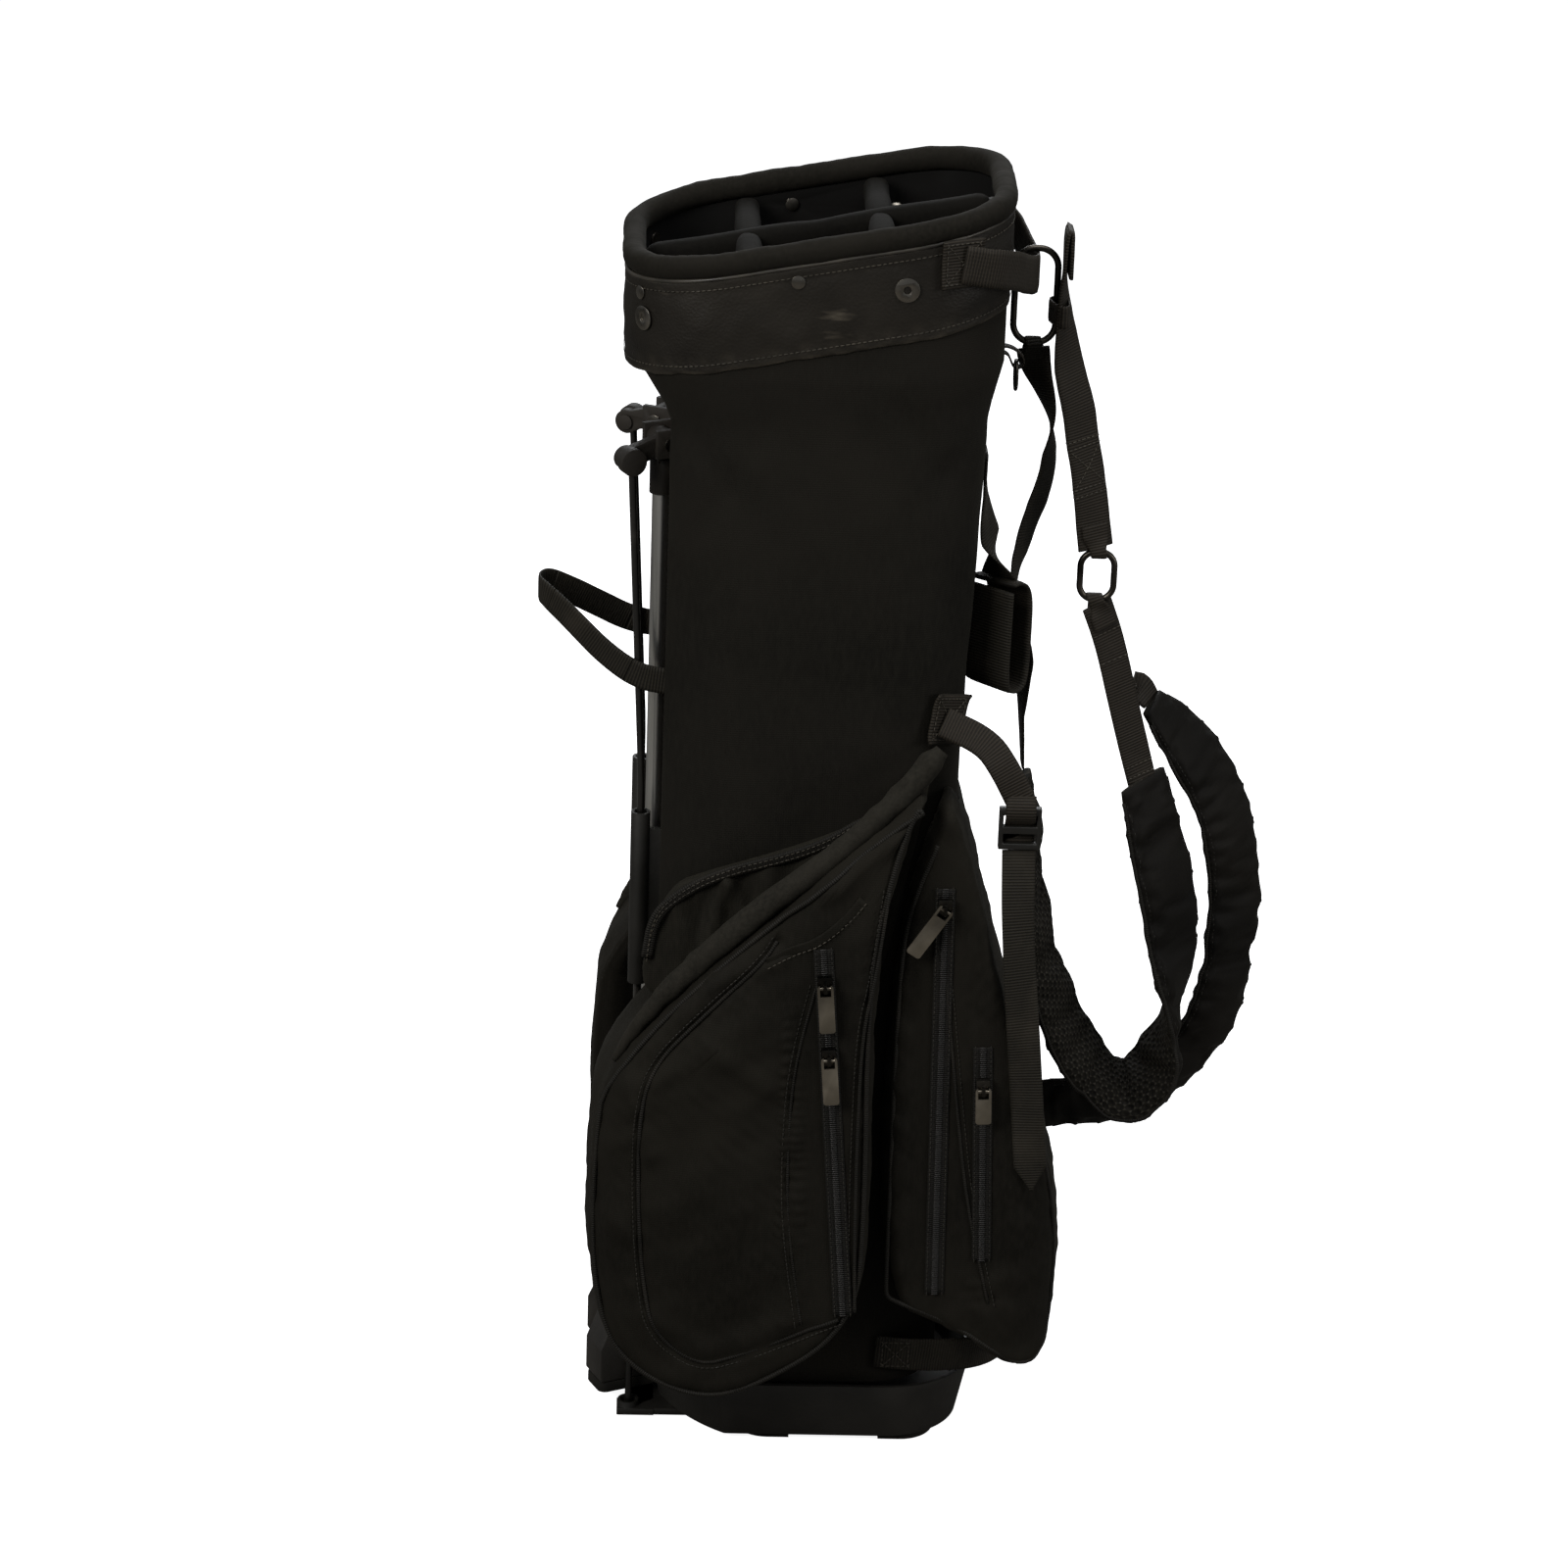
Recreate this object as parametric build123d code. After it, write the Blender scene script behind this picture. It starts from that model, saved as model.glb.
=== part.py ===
"""Golf stand bag: a fabric bag tube on a moulded base, a padded cuff with dividers, side pockets,
a double shoulder strap, and two folding legs that a hinged heel plate pushes out with two rods.

Millimetres. Z is up, +X is the strap side, -X is the leg side. The origin is on the floor under
the middle of the cuff."""
from build123d import *
from math import asin, cos, degrees, radians, sin, sqrt, tan
import os

# ---- cuff ----
rim_height = 862.0        # top of the padded rim, on the bag's centre line
rim_slope = 10.5          # degrees, the strap side is the higher one
cuff_width = 248.0
cuff_depth = 196.0
cuff_corner = 68.0
band_height = 61.0
band_wall = 1.6
ring_height = 54.0
ring_wall = 3.5
roll_radius = 7.5
rivet_radius = 4.5
bolt_radius = 3.0
eyelet_radius = 8.0
divider_left = -45.0      # X of the two cross dividers
divider_right = 40.0
divider_bar = 5.0         # thickness of the bars inside the padding
divider_bar_height = 11.0
divider_pad = 17.0        # width of the padded dividers
divider_pad_height = 19.0
divider_drop = 12.0       # rim top to the top of the divider padding
panel_wall = 1.6
panel_low = 60.0

# ---- bag tube ----
fabric = 3.0              # shell, foam and lining together
body_width = 204.0
body_depth = 184.0
body_corner = 50.0
body_shift = 4.0          # the tube sits a little towards the strap side
shoulder_extra = 6.0      # the tube is this much wider under the cuff
shoulder_shift = 7.5
taper_drop = 362.0        # rim height down to where the tube begins to widen
shoulder_drop = 127.0
flare_drop = 94.0         # down to where the fabric meets the cuff on the leg side
channel_depth = 16.0      # leg channel, measured in from the tube's leg side
channel_half = 61.0
stay_width = 12.0
stay_wall = 2.5
stay_spread = 56.0

# ---- base ----
base_height = 48.0
base_length = 229.0
base_depth = 196.0
base_corner = 62.0
base_shift = 17.5
base_taper = 9.0          # how far the bottom edge sits in from the top edge
base_wall = 3.5
foot_height = 5.0
bevel_angle = 19.0        # the leg side of the underside rises at this angle
tread_low = -34.0         # the rubber sole lies between these two in X
tread_high = 106.0
tread_half = 84.0
tread_notch = 62.0

# ---- legs ----
leg_drop = 62.0           # leg pivots below the flare
leg_offset = 16.0         # leg pivot out from the floor of the channel
leg_spread = 50.0         # between the two pivots
leg_splay = 25.0          # degrees, each swing plane is turned outwards
leg_swing = 35.0          # degrees
hub_half = 44.0           # half the width of the plastic bracket over the legs
hub_wall = 3.5
leg_radius = 6.0
leg_wall = 1.0
leg_ground = 14.0         # soles of the folded legs, above the floor
sole_height = 8.0
boot_height = 60.0
boot_length = 47.0
boot_width = 26.0
pin_radius = 2.5
running = 0.06            # radial clearance of the turning pins
crank = 28.0              # leg pivot to rod eye
head_width = 16.0
ear_wall = 4.0
side_gap = 0.3

# ---- rods and heel plate ----
rod_radius = 2.4
rod_corner_y = 50.0       # how far the straight part of each rod is from the middle
rod_reach = 25.0          # rods out from the floor of the channel
eye_clearance = 1.6
knob_radius = 9.0
knob_height = 8.0
guide_low = 330.0
guide_high = 454.0
guide_radius = 6.5
guide_bore = 4.3
heel_pin_x = -46.0
heel_pin_height = 12.0
heel_wall = 5.0
heel_gap = 0.8            # heel plate above the floor, so that the feet carry the bag
heel_half = 57.0
rod_bend_radius = 900.0

# ---- pockets ----
pocket_depth = 58.0       # side pockets out from the tube
pocket_left = 137.0
gusset_depth = 11.0
roll_thickness = 8.0
ball_reach = 184.0
ball_front = 120.0
ball_back = 12.0

# ---- straps and handles ----
webbing = 25.0
webbing_wall = 2.0
wide_wall = 3.0           # doubled webbing
anchor_drop = 14.0        # rim height down to the middle of the strap patches
anchor_angle = 28.0       # degrees round the cuff's corner
bridle_reach = 20.0       # webbing between the patches, out from the cuff
bridle_drop = 43.0
tag_reach = 8.0           # small wire ring out from the cuff
tag_drop = 102.4
tag_y = -8.0
tag_radius = 9.5
wire = 2.2                # radius of the ring wire
ring_width = 32.0
ring_length = 68.0
strap_y = -6.0
link_reach = 32.0         # lower ring out from the strap's upper part
link_drop = 250.0
link_width = 27.0
link_length = 38.0
rear_y = 16.0             # rear strap beside the front one
pad_wall = 14.0
pad_width = 54.0
pad_y = -12.0
outer_pad_y = 42.0
pad_bend = 24.0
inner_pad = [(-42, -142), (-33, -246), (-7, -330), (36, -384), (66, -350), (69, -259), (38, -144)]
outer_pad = [(47, -107), (90, -157), (113, -221), (112, -312), (93, -366), (45, -401), (-15, -409)]
lower_anchor_height = 536.0
buckle_reach = 36.0       # buckle out from the tube's strap side
buckle_out = 14.0         # and from its front
buckle_low = 456.0
tail_length = 241.0
handle_low = 540.0
handle_high = 618.0
handle_reach = 38.0
handle_y = -26.5
handle_width = 37.0
base_handle_height = 74.0
base_handle_reach = 57.0
leg_strap_drop = 158.0    # leg pivots down to the strap's ends
leg_strap_reach = 98.0

seam = 0.25               # between pieces that are sewn or screwed together
slack = 0.4               # between soft pieces and their neighbours
big = 1200.0              # size of the cutting blocks

slope = tan(radians(rim_slope))
taper_low = rim_height - taper_drop
shoulder_width = body_width + shoulder_extra
shoulder_height = rim_height - shoulder_drop
flare_height = rim_height - flare_drop
leg_height = flare_height - leg_drop
cuff_side = cuff_width / 2
body_left = body_shift - body_width / 2
body_right = body_shift + body_width / 2
channel_x = body_left + channel_depth
leg_x = channel_x - leg_offset
leg_y = leg_spread / 2
rod_x = channel_x - rod_reach
half_swing = radians(leg_swing / 2)
rod_travel = 2 * crank * sin(half_swing)
heel_arm = heel_pin_x - rod_x
heel_swing = 2 * asin(rod_travel / 2 / heel_arm)


# ---------------------------------------------------------------- helpers

def rounded(width, depth, corner, inset=0.0):
    return RectangleRounded(width - 2 * inset, depth - 2 * inset, corner - inset)


def prism(width, depth, corner, shift, low, high, inset=0.0):
    return Pos(shift, 0, low) * extrude(rounded(width, depth, corner, inset), high - low)


def taper(low_size, low_shift, low, high_size, high_shift, high, inset=0.0):
    first = Pos(low_shift, 0, low) * rounded(*low_size, inset)
    last = Pos(high_shift, 0, high) * rounded(*high_size, inset)
    return loft([first, last])


def block(x_low, x_high, y_low, y_high, z_low, z_high):
    size = (x_high - x_low, y_high - y_low, z_high - z_low)
    centre = ((x_low + x_high) / 2, (y_low + y_high) / 2, (z_low + z_high) / 2)
    return Pos(*centre) * Box(*size)


def above(height):
    """Everything over the slanted plane that has this height on the centre line."""
    return Pos(0, 0, height) * Rot(0, -rim_slope, 0) * Pos(0, 0, big / 2) * Box(big, big, big)


def below(height):
    return Pos(0, 0, height) * Rot(0, -rim_slope, 0) * Pos(0, 0, -big / 2) * Box(big, big, big)


def rod(start, end, radius):
    axis = Vector(*end) - Vector(*start)
    return Plane(origin=start, z_dir=axis) * Cylinder(
        radius, axis.length, align=(Align.CENTER, Align.CENTER, Align.MIN))


def outline(points, y_low, y_high, corner=0.0):
    """A plate with this outline in X and Z."""
    face = Plane.XZ * Polygon(*points, align=None)
    if corner:
        face = fillet(face.vertices(), corner)
    solid = extrude(face, y_high - y_low, dir=(0, 1, 0))
    return Pos(0, y_low, 0) * solid


def ribbon(points, radius, width, wall, across=(0, 1, 0)):
    """Webbing along a bent path. `across` is the direction of its width."""
    path = FilletPolyline(*points, radius=radius) if len(points) > 2 else Line(*points)
    start = Plane(origin=path @ 0, x_dir=across, z_dir=path % 0)
    return sweep(start * Rectangle(width, wall), path)


def mirrored(solid):
    return mirror(solid, about=Plane.XZ)


# ---------------------------------------------------------------- bag tube and base

def tube_form(inset, low):
    """The tube's outside, or its inside when inset, up to the cuff."""
    cuff_inset = band_wall + seam + inset
    plain = (body_width, body_depth, body_corner)
    shoulder = (shoulder_width, body_depth, body_corner)
    cuff = (cuff_width, cuff_depth, cuff_corner)
    cuff_in = (cuff_width - 2 * (band_wall + seam), cuff_depth - 2 * (band_wall + seam),
               cuff_corner - band_wall - seam)
    form = prism(*plain, body_shift, low, taper_low, inset)
    form += taper(plain, body_shift, taper_low, shoulder, shoulder_shift, shoulder_height, inset)
    form += taper(shoulder, shoulder_shift, shoulder_height, cuff_in, 0, flare_height, inset)
    form += prism(*cuff, 0, flare_height, rim_height + cuff_width, cuff_inset)
    return form - block(-big, channel_x + inset, -channel_half - inset, channel_half + inset,
                        low - 1, flare_height - fabric - 1 + inset)


def body_shell():
    low = base_height + seam
    shell = tube_form(0, low) - tube_form(fabric, low - 1)
    shell -= above(rim_height - 2 * roll_radius - seam)
    for x, y, z, nx, ny in cuff_fixings():
        shell -= fixing_hole(x, y, z, nx, ny)
    for y, z in hub_screw_places():
        shell -= rod((channel_x - 1, y, z), (channel_x + fabric + 1, y, z), bolt_radius)
    return shell


def base_form(inset):
    top = (base_length, base_depth, base_corner)
    bottom = (base_length - 2 * base_taper, base_depth - 2 * base_taper, base_corner - base_taper)
    form = taper(bottom, base_shift, foot_height, top, base_shift, base_height, inset)
    form -= block(-big, channel_x + inset, -channel_half - inset, channel_half + inset, 0, big)
    bevel = Pos(heel_pin_x + 6, 0, foot_height + inset) * Rot(0, bevel_angle, 0)
    return form - bevel * Pos(-big / 2, 0, -big / 2) * Box(big, big, big)


def base_cup():
    groove = 8.0
    top = heel_pin_height + groove
    cup = base_form(0)
    hollow = base_form(base_wall) & block(-big, big, -big, big, foot_height + base_wall, big)
    ridge = block(heel_pin_x - groove - base_wall, heel_pin_x + groove + base_wall,
                  -heel_half - base_wall, heel_half + base_wall, 0, top + base_wall)
    lip = prism(base_length, base_depth, base_corner, base_shift, base_height - 1, big, base_wall)
    lip -= block(-big, channel_x + base_wall, -channel_half - base_wall,
                 channel_half + base_wall, 0, big)
    cup = cup - (hollow - ridge) - (lip & block(-big, big, -big, big, base_height, big))
    cup -= block(heel_pin_x - groove, heel_pin_x + groove, -heel_half + 7, heel_half - 7, 0, top)
    cup -= heel_axis(heel_half, pin_radius)
    for x, y in tread_screw_places():
        cup -= Pos(x, y, foot_height) * Cylinder(2.2, 4 * base_wall)
    return cup


def tread_screw_places():
    return [(tread_low + 20, tread_half - 14), (tread_high - 20, tread_half - 18),
            (tread_low + 20, 14 - tread_half), (tread_high - 20, 18 - tread_half)]


def base_tread():
    """The rubber sole, notched at the front and the back so that it stands on four feet."""
    middle = (tread_low + tread_high) / 2
    tread = Pos(middle, 0, 0) * extrude(
        RectangleRounded(tread_high - tread_low, 2 * tread_half, 24), foot_height - seam)
    for side in (-1, 1):
        tread -= Pos(middle, side * tread_half, 0) * Box(tread_notch, 40, 8)
    for x, y in tread_screw_places():
        tread += Pos(x, y, foot_height - 1) * Cylinder(2, base_wall, align=(
            Align.CENTER, Align.CENTER, Align.MIN))
    return tread


def spine_stays():
    x = body_right - fabric - seam - stay_wall
    stays = []
    for y in (-stay_spread / 2, stay_spread / 2):
        stays.append(block(x, x + stay_wall, y - stay_width / 2, y + stay_width / 2,
                           base_height + 2, rim_height - ring_height - 40))
    return Compound(children=stays)


# ---------------------------------------------------------------- cuff

def cuff_ring(inset, wall, low, high):
    form = prism(cuff_width, cuff_depth, cuff_corner, 0, flare_height - 60, rim_height + 80, inset)
    form -= prism(cuff_width, cuff_depth, cuff_corner, 0, flare_height - 61, rim_height + 81,
                  inset + wall)
    return form & above(low) & below(high)


def corner_place(angle, z_mid):
    """A point on the cuff's rounded corner on the leg side, with its outward normal."""
    nx, ny = -cos(radians(angle)), sin(radians(angle))
    x = -(cuff_width / 2 - cuff_corner) + cuff_corner * nx
    y = (cuff_depth / 2 - cuff_corner) + cuff_corner * ny
    return x, y, z_mid + slope * x, nx, ny


def rivet_places():
    top = rim_height - 2 * roll_radius
    x, y, z, nx, ny = corner_place(32, top)
    front = (-15.0, cuff_depth / 2, top - 15.0 * slope, 0, 1)
    places = [front, (x, y, z, nx, ny)]
    return places + [(a, -b, c, d, -e) for a, b, c, d, e in places]


def bolt_places():
    middle = rim_height - 40
    x, y, z, nx, ny = corner_place(36, middle)
    front_x = cuff_side - cuff_corner - 2
    front = (front_x, cuff_depth / 2, middle + front_x * slope, 0, 1)
    places = [front, (x, y, z, nx, ny)]
    return places + [(a, -b, c, d, -e) for a, b, c, d, e in places]


def cuff_fixings():
    down = 9.0            # rivets sit this far under the edge of the band
    rivets = [(x, y, z - down, nx, ny) for x, y, z, nx, ny in rivet_places()]
    return rivets + bolt_places()


def fixing_hole(x, y, z, nx, ny):
    reach = 12.0
    return rod((x + nx * reach, y + ny * reach, z), (x - nx * reach, y - ny * reach, z), 2.2)


def cuff_depth_inside():
    return band_wall + seam + fabric + seam + ring_wall


def rivet(x, y, z, nx, ny):
    head = rod((x + nx * seam, y + ny * seam, z), (x + nx * 1.4, y + ny * 1.4, z), rivet_radius)
    inner = cuff_depth_inside() + seam
    tail = rod((x - nx * inner, y - ny * inner, z),
               (x - nx * (inner + 1.4), y - ny * (inner + 1.4), z), rivet_radius)
    shank = rod((x + nx * seam, y + ny * seam, z), (x - nx * inner, y - ny * inner, z), 2)
    return head + shank + tail


def collar_rivets():
    return Compound(children=[rivet(*place) for place in cuff_fixings()[:4]])


def collar_bolts():
    bolts = []
    for x, y, z, nx, ny in bolt_places():
        bolt = rivet(x, y, z, nx, ny)
        bolt += rod((x + nx * 0.9, y + ny * 0.9, z), (x + nx * 2.2, y + ny * 2.2, z), eyelet_radius)
        bolt -= rod((x + nx * 1.2, y + ny * 1.2, z), (x + nx * 3, y + ny * 3, z), 2.5)
        bolts.append(bolt)
    return Compound(children=bolts)


def with_fixing_holes(solid):
    for place in cuff_fixings():
        solid -= fixing_hole(*place)
    return solid


def collar_band():
    top = rim_height - 2 * roll_radius
    return with_fixing_holes(cuff_ring(0, band_wall, top - band_height, top))


def collar_ring():
    top = rim_height - 2 * roll_radius - seam
    return with_fixing_holes(
        cuff_ring(band_wall + fabric + 2 * seam, ring_wall, top - ring_height, top))


def roll_inset():
    return band_wall + seam + (fabric + seam + ring_wall) / 2


def rim_roll():
    inset = roll_inset()
    width = (cuff_width - 2 * inset) / cos(radians(rim_slope))
    path = RectangleRounded(width, cuff_depth - 2 * inset, cuff_corner - inset).wire()
    section = Plane(origin=path @ 0, z_dir=path % 0) * Circle(roll_radius)
    centre = rim_height - roll_radius + seam
    return Pos(0, 0, centre) * Rot(0, -rim_slope, 0) * sweep(section, path)


def divider_beams(width, height, inner):
    """A long bar along X and two cross bars, in the slanted plane of the rim."""
    centre = rim_height - divider_drop - divider_pad_height / 2
    half_x = cuff_width / 2 - inner
    half_y = cuff_depth / 2 - inner
    beams = Pos(0, 0, centre) * Rot(0, -rim_slope, 0) * Box(3 * half_x, width, height)
    for x in (divider_left, divider_right):
        beams += Pos(x, 0, centre + slope * x) * Rot(0, -rim_slope, 0) * Box(width, 3 * half_y, height)
    return beams & prism(cuff_width, cuff_depth, cuff_corner, 0, 0, big, inner)


def divider_frame():
    return divider_beams(divider_bar, divider_bar_height, cuff_depth_inside() + seam)


def divider_padding():
    gap = 2 * seam
    pad = divider_beams(divider_pad, divider_pad_height, roll_inset() + roll_radius + slack)
    return pad - divider_beams(divider_bar + gap, divider_bar_height + gap, 0)


def divider_panels():
    top = rim_height - divider_drop - divider_pad_height - 1
    inside = tube_form(fabric + slack, base_height + 1)
    inside &= prism(cuff_width, cuff_depth, cuff_corner, 0, 0, big, cuff_depth_inside() + slack)
    gap = panel_wall / 2 + slack
    panels = []
    spans = [(-big, divider_left - gap), (divider_left + gap, divider_right - gap),
             (divider_right + gap, big)]
    for x_low, x_high in spans:
        panels.append(block(x_low, x_high, -panel_wall / 2, panel_wall / 2, panel_low, big))
    for x in (divider_left, divider_right):
        panels.append(block(x - panel_wall / 2, x + panel_wall / 2, -big, big, panel_low, big))
    return Compound(children=[panel & inside & below(top) for panel in panels])


# ---------------------------------------------------------------- leg hub

def splay(side=1):
    """Outward direction and pivot axis of the near leg (side 1)."""
    a = radians(leg_splay)
    return Vector(-cos(a), -sin(a), 0), Vector(sin(a), -cos(a), 0)


def leg_plane():
    """X points outwards in the swing plane, Y down, Z along the pivot."""
    out, axis = splay()
    return Plane(origin=(leg_x, -leg_y, leg_height), x_dir=out, z_dir=axis)


def eye_place():
    """The rod eye in the leg plane, at mid clearance."""
    across = crank * (1 + cos(half_swing)) / 2
    return across, crank * sin(half_swing)


def hub_screw_places():
    y = hub_half - 8
    return [(side * y, z) for side in (-1, 1) for z in (leg_height - 20, flare_height - 12)]


def hub_bracket():
    out_x = channel_x - seam
    bracket = block(out_x - hub_wall, out_x, -hub_half, hub_half,
                    leg_height - 30, flare_height - 6)
    reach = 1.5 * leg_offset
    for start in (head_width / 2 + side_gap, -head_width / 2 - side_gap - ear_wall):
        ear = Pos((9 - reach) / 2, 0, start + ear_wall / 2) * Box(9 + reach, 19, ear_wall)
        bore = Pos(0, 0, start + ear_wall / 2) * Cylinder(pin_radius, ear_wall + 2)
        ear = (leg_plane() * (ear - bore)) & block(-big, out_x, -big, big, 0, big)
        bracket += ear
        bracket += mirrored(ear)
    for y, z in hub_screw_places():
        bracket -= rod((out_x + 1, y, z), (out_x - 9, y, z), 2.2)
    return bracket


def hub_screws():
    face = channel_x - seam - hub_wall
    screws = []
    for y, z in hub_screw_places():
        head = rod((face - 0.1, y, z), (face - 2.4, y, z), 3.8)
        shank = rod((face - 0.1, y, z), (channel_x + fabric + 2, y, z), 2)
        nut = rod((channel_x + fabric + seam, y, z), (channel_x + fabric + 2.4, y, z), 5)
        screws.append(head + shank + nut)
    return Compound(children=screws)


def leg_pivot_pins():
    half = head_width / 2 + side_gap + ear_wall
    pin = leg_plane() * (Cylinder(pin_radius, 2 * half + 1)
                         + Pos(0, 0, half + 1) * Cylinder(pin_radius + 2, 1.5)
                         + Pos(0, 0, -half - 1) * Cylinder(pin_radius + 2, 1.5))
    return Compound(children=[pin, mirrored(pin)])


# ---------------------------------------------------------------- legs

socket_low = 36.0


def leg_head():
    barrel = Cylinder(8, head_width)
    ex, ey = eye_place()
    angle = degrees(asin(ey / sqrt(ex * ex + ey * ey)))
    length = sqrt(ex * ex + ey * ey)
    arm_wall = head_width / 2 - 1
    arm = Pos(0, 0, arm_wall / 2 + 1) * Rot(0, 0, angle) * (
        Pos(length / 2, 0, 0) * Box(length, 13, arm_wall) + Pos(length, 0, 0) * Cylinder(8, arm_wall))
    neck = Pos(0, (12 + socket_low) / 2, 0) * Rot(90, 0, 0) * Cylinder(8, socket_low - 12)
    bridge = Pos(0, 8, 0) * Box(12, 12, head_width - 2)
    head = barrel + arm + neck + bridge
    head -= Cylinder(pin_radius + running, head_width + 2)
    head -= Pos(ex, ey, 0) * Cylinder(pin_radius + eye_clearance, big)
    head -= Pos(0, 14 + socket_low / 2, 0) * Rot(90, 0, 0) * Cylinder(leg_radius, socket_low)
    return leg_plane() * head


def leg_tube_low():
    return leg_ground + sole_height + boot_height / 3


def leg_tube():
    top = leg_height - 14.5
    low = leg_tube_low()
    tube = Cylinder(leg_radius, top - low) - Cylinder(leg_radius - leg_wall, big)
    return Pos(leg_x, -leg_y, (top + low) / 2) * tube


def leg_foot():
    """The boot, a blind socket on the tube that reaches outwards, in the leg plane."""
    sole_top = leg_height - leg_ground - sole_height
    top = sole_top - boot_height
    back = -leg_radius - 3.5
    tip = back + boot_length
    points = [(back, top), (-back, top), (tip - 8, top + 16), (tip, top + 34), (tip, sole_top),
              (back, sole_top)]
    profile = Polygon(*points, align=None)
    profile = fillet(profile.vertices(), 3)
    boot = Pos(0, 0, -boot_width / 2) * extrude(profile, boot_width)
    depth = leg_height - leg_tube_low() - top + 2
    boot -= Pos(0, top - 2 + depth / 2, 0) * Rot(90, 0, 0) * Cylinder(leg_radius, depth)
    return leg_plane() * boot


def foot_sole():
    sole_top = leg_height - leg_ground - sole_height
    back = -leg_radius - 3.5
    pad = Pos(back + boot_length / 2, 0, 0) * Rot(90, 0, 0) * extrude(
        RectangleRounded(boot_length, boot_width, 6), sole_height)
    return leg_plane() * Pos(0, sole_top + sole_height, 0) * pad


# ---------------------------------------------------------------- rods and heel plate

def knob_plane():
    """The rod end's place: beside the crank, on the pivot's direction."""
    ex, ey = eye_place()
    return leg_plane() * Pos(ex, ey, head_width / 2 + 0.5)


def rod_end():
    knob = Pos(0, 0, knob_height / 2) * Cylinder(knob_radius, knob_height)
    pin = Pos(0, 0, -head_width / 4) * Cylinder(pin_radius, head_width / 2 + 1)
    cap = Pos(0, 0, -head_width / 2 - 0.6) * Cylinder(pin_radius + 2.5, 1.4)
    end = knob_plane() * (knob + pin + cap)
    return end - rod(rod_top(), rod_bend(), rod_radius)


def rod_top():
    centre = (knob_plane() * Pos(0, 0, knob_height / 2)).position
    return centre.X, centre.Y, centre.Z - knob_radius / 3


def rod_bend():
    return rod_x, -rod_corner_y, guide_high + 26


def rod_foot():
    return heel_gap + heel_wall + 1.0


def actuator_rod():
    path = FilletPolyline(rod_top(), rod_bend(), (rod_x, -rod_corner_y, rod_foot()), radius=rod_bend_radius)
    return sweep(Plane(origin=path @ 0, z_dir=path % 0) * Circle(rod_radius), path)


def rod_guides():
    middle = (guide_low + guide_high) / 2
    length = guide_high - guide_low
    sleeve = Pos(rod_x, -rod_corner_y, middle) * Cylinder(guide_radius, length)
    web = block(rod_x, channel_x - seam, -rod_corner_y - 2, -rod_corner_y + 2,
                guide_low + 10, guide_high - 12)
    foot = block(channel_x - seam - 2, channel_x - seam, -rod_corner_y - 8, -rod_corner_y + 8,
                 guide_low + 10, guide_high - 12)
    guide = sleeve + web + foot
    guide -= Pos(rod_x, -rod_corner_y, middle) * Cylinder(guide_bore, length + 2)
    return Compound(children=[guide, mirrored(guide)])


def heel_axis(half, radius):
    return Pos(heel_pin_x, 0, heel_pin_height) * Rot(90, 0, 0) * Cylinder(radius, 2 * half)


def heel_plate():
    low, high = heel_gap, heel_gap + heel_wall
    lug = 8.0
    inside = channel_x - lug
    plate = block(inside, heel_pin_x - 3, -heel_half, heel_half, low, high)
    knuckle = heel_half - 8
    plate += heel_axis(knuckle, 5.5)
    plate += block(heel_pin_x - 5.5, heel_pin_x - 2, -knuckle, knuckle, low, heel_pin_height)
    for y in (-rod_corner_y, rod_corner_y):
        plate += block(rod_x - lug, inside + 1, y - lug, y + lug, low, high)
        plate += Pos(rod_x, y, high + 2) * (Cylinder(lug - 0.5, 4) - Cylinder(rod_radius + 2.8, 5))
    return plate - heel_axis(heel_half, pin_radius + running)


def heel_hinge_pin():
    return heel_axis(heel_half - 1, pin_radius)


# ---------------------------------------------------------------- leg strap

def leg_strap():
    """A loose webbing loop round both legs, sewn to the walls of the channel."""
    tip = channel_x - leg_strap_reach
    low = leg_height - leg_strap_drop
    high = low + 46
    half = [(channel_x - 2, -channel_half + 4, low), (leg_x - 20, -channel_half + 8, low + 4),
            (tip + 10, -20, high - 2)]
    path = half + [(tip, 0, high)] + [(x, -y, z) for x, y, z in reversed(half)]
    line = FilletPolyline(*path, radius=8)
    return sweep(Plane(origin=line @ 0, x_dir=(0, 0, 1), z_dir=line % 0)
                 * Rectangle(18, webbing_wall), line)


# ---------------------------------------------------------------- pockets

def outside_tube():
    return tube_form(-slack, 20)


def base_clear():
    return block(-big, big, -big, big, -1, base_height + slack)


def side_pocket():
    """A deep pocket with a slanted top edge, wrapped round the leg-side corner of the tube."""
    points = [(-pocket_left + 9, 318), (-pocket_left, 232), (-pocket_left + 2, 140),
              (-pocket_left + 20, 92), (-68, 62), (-24, 68), (46, 118), (52, 200), (47, 380),
              (66, 476), (86, 512)]
    front = -body_depth / 2 - pocket_depth
    back = -body_depth / 2 - gusset_depth - slack
    pocket = outline(points, front, back, 5)
    wrap = [(-pocket_left + 9, 312), (-pocket_left, 232), (-pocket_left + 2, 140),
            (-pocket_left + 20, 92), (-68, 62), (-24, 68), (-40, 352)]
    pocket += outline(wrap, back - 1, -channel_half, 3)
    return pocket - outside_tube() - base_clear() - mouth_roll(roll_thickness + slack)


def pocket_gusset():
    points = [(-pocket_left + 26, 330), (-92, 418), (-57, 432), (0, 450), (52, 474), (84, 516),
              (80, 480), (44, 300), (-28, 300), (-38, 358)]
    low = -body_depth / 2 - gusset_depth
    gusset = outline(points, low, -body_depth / 2 - slack)
    return gusset - outside_tube()


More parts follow.
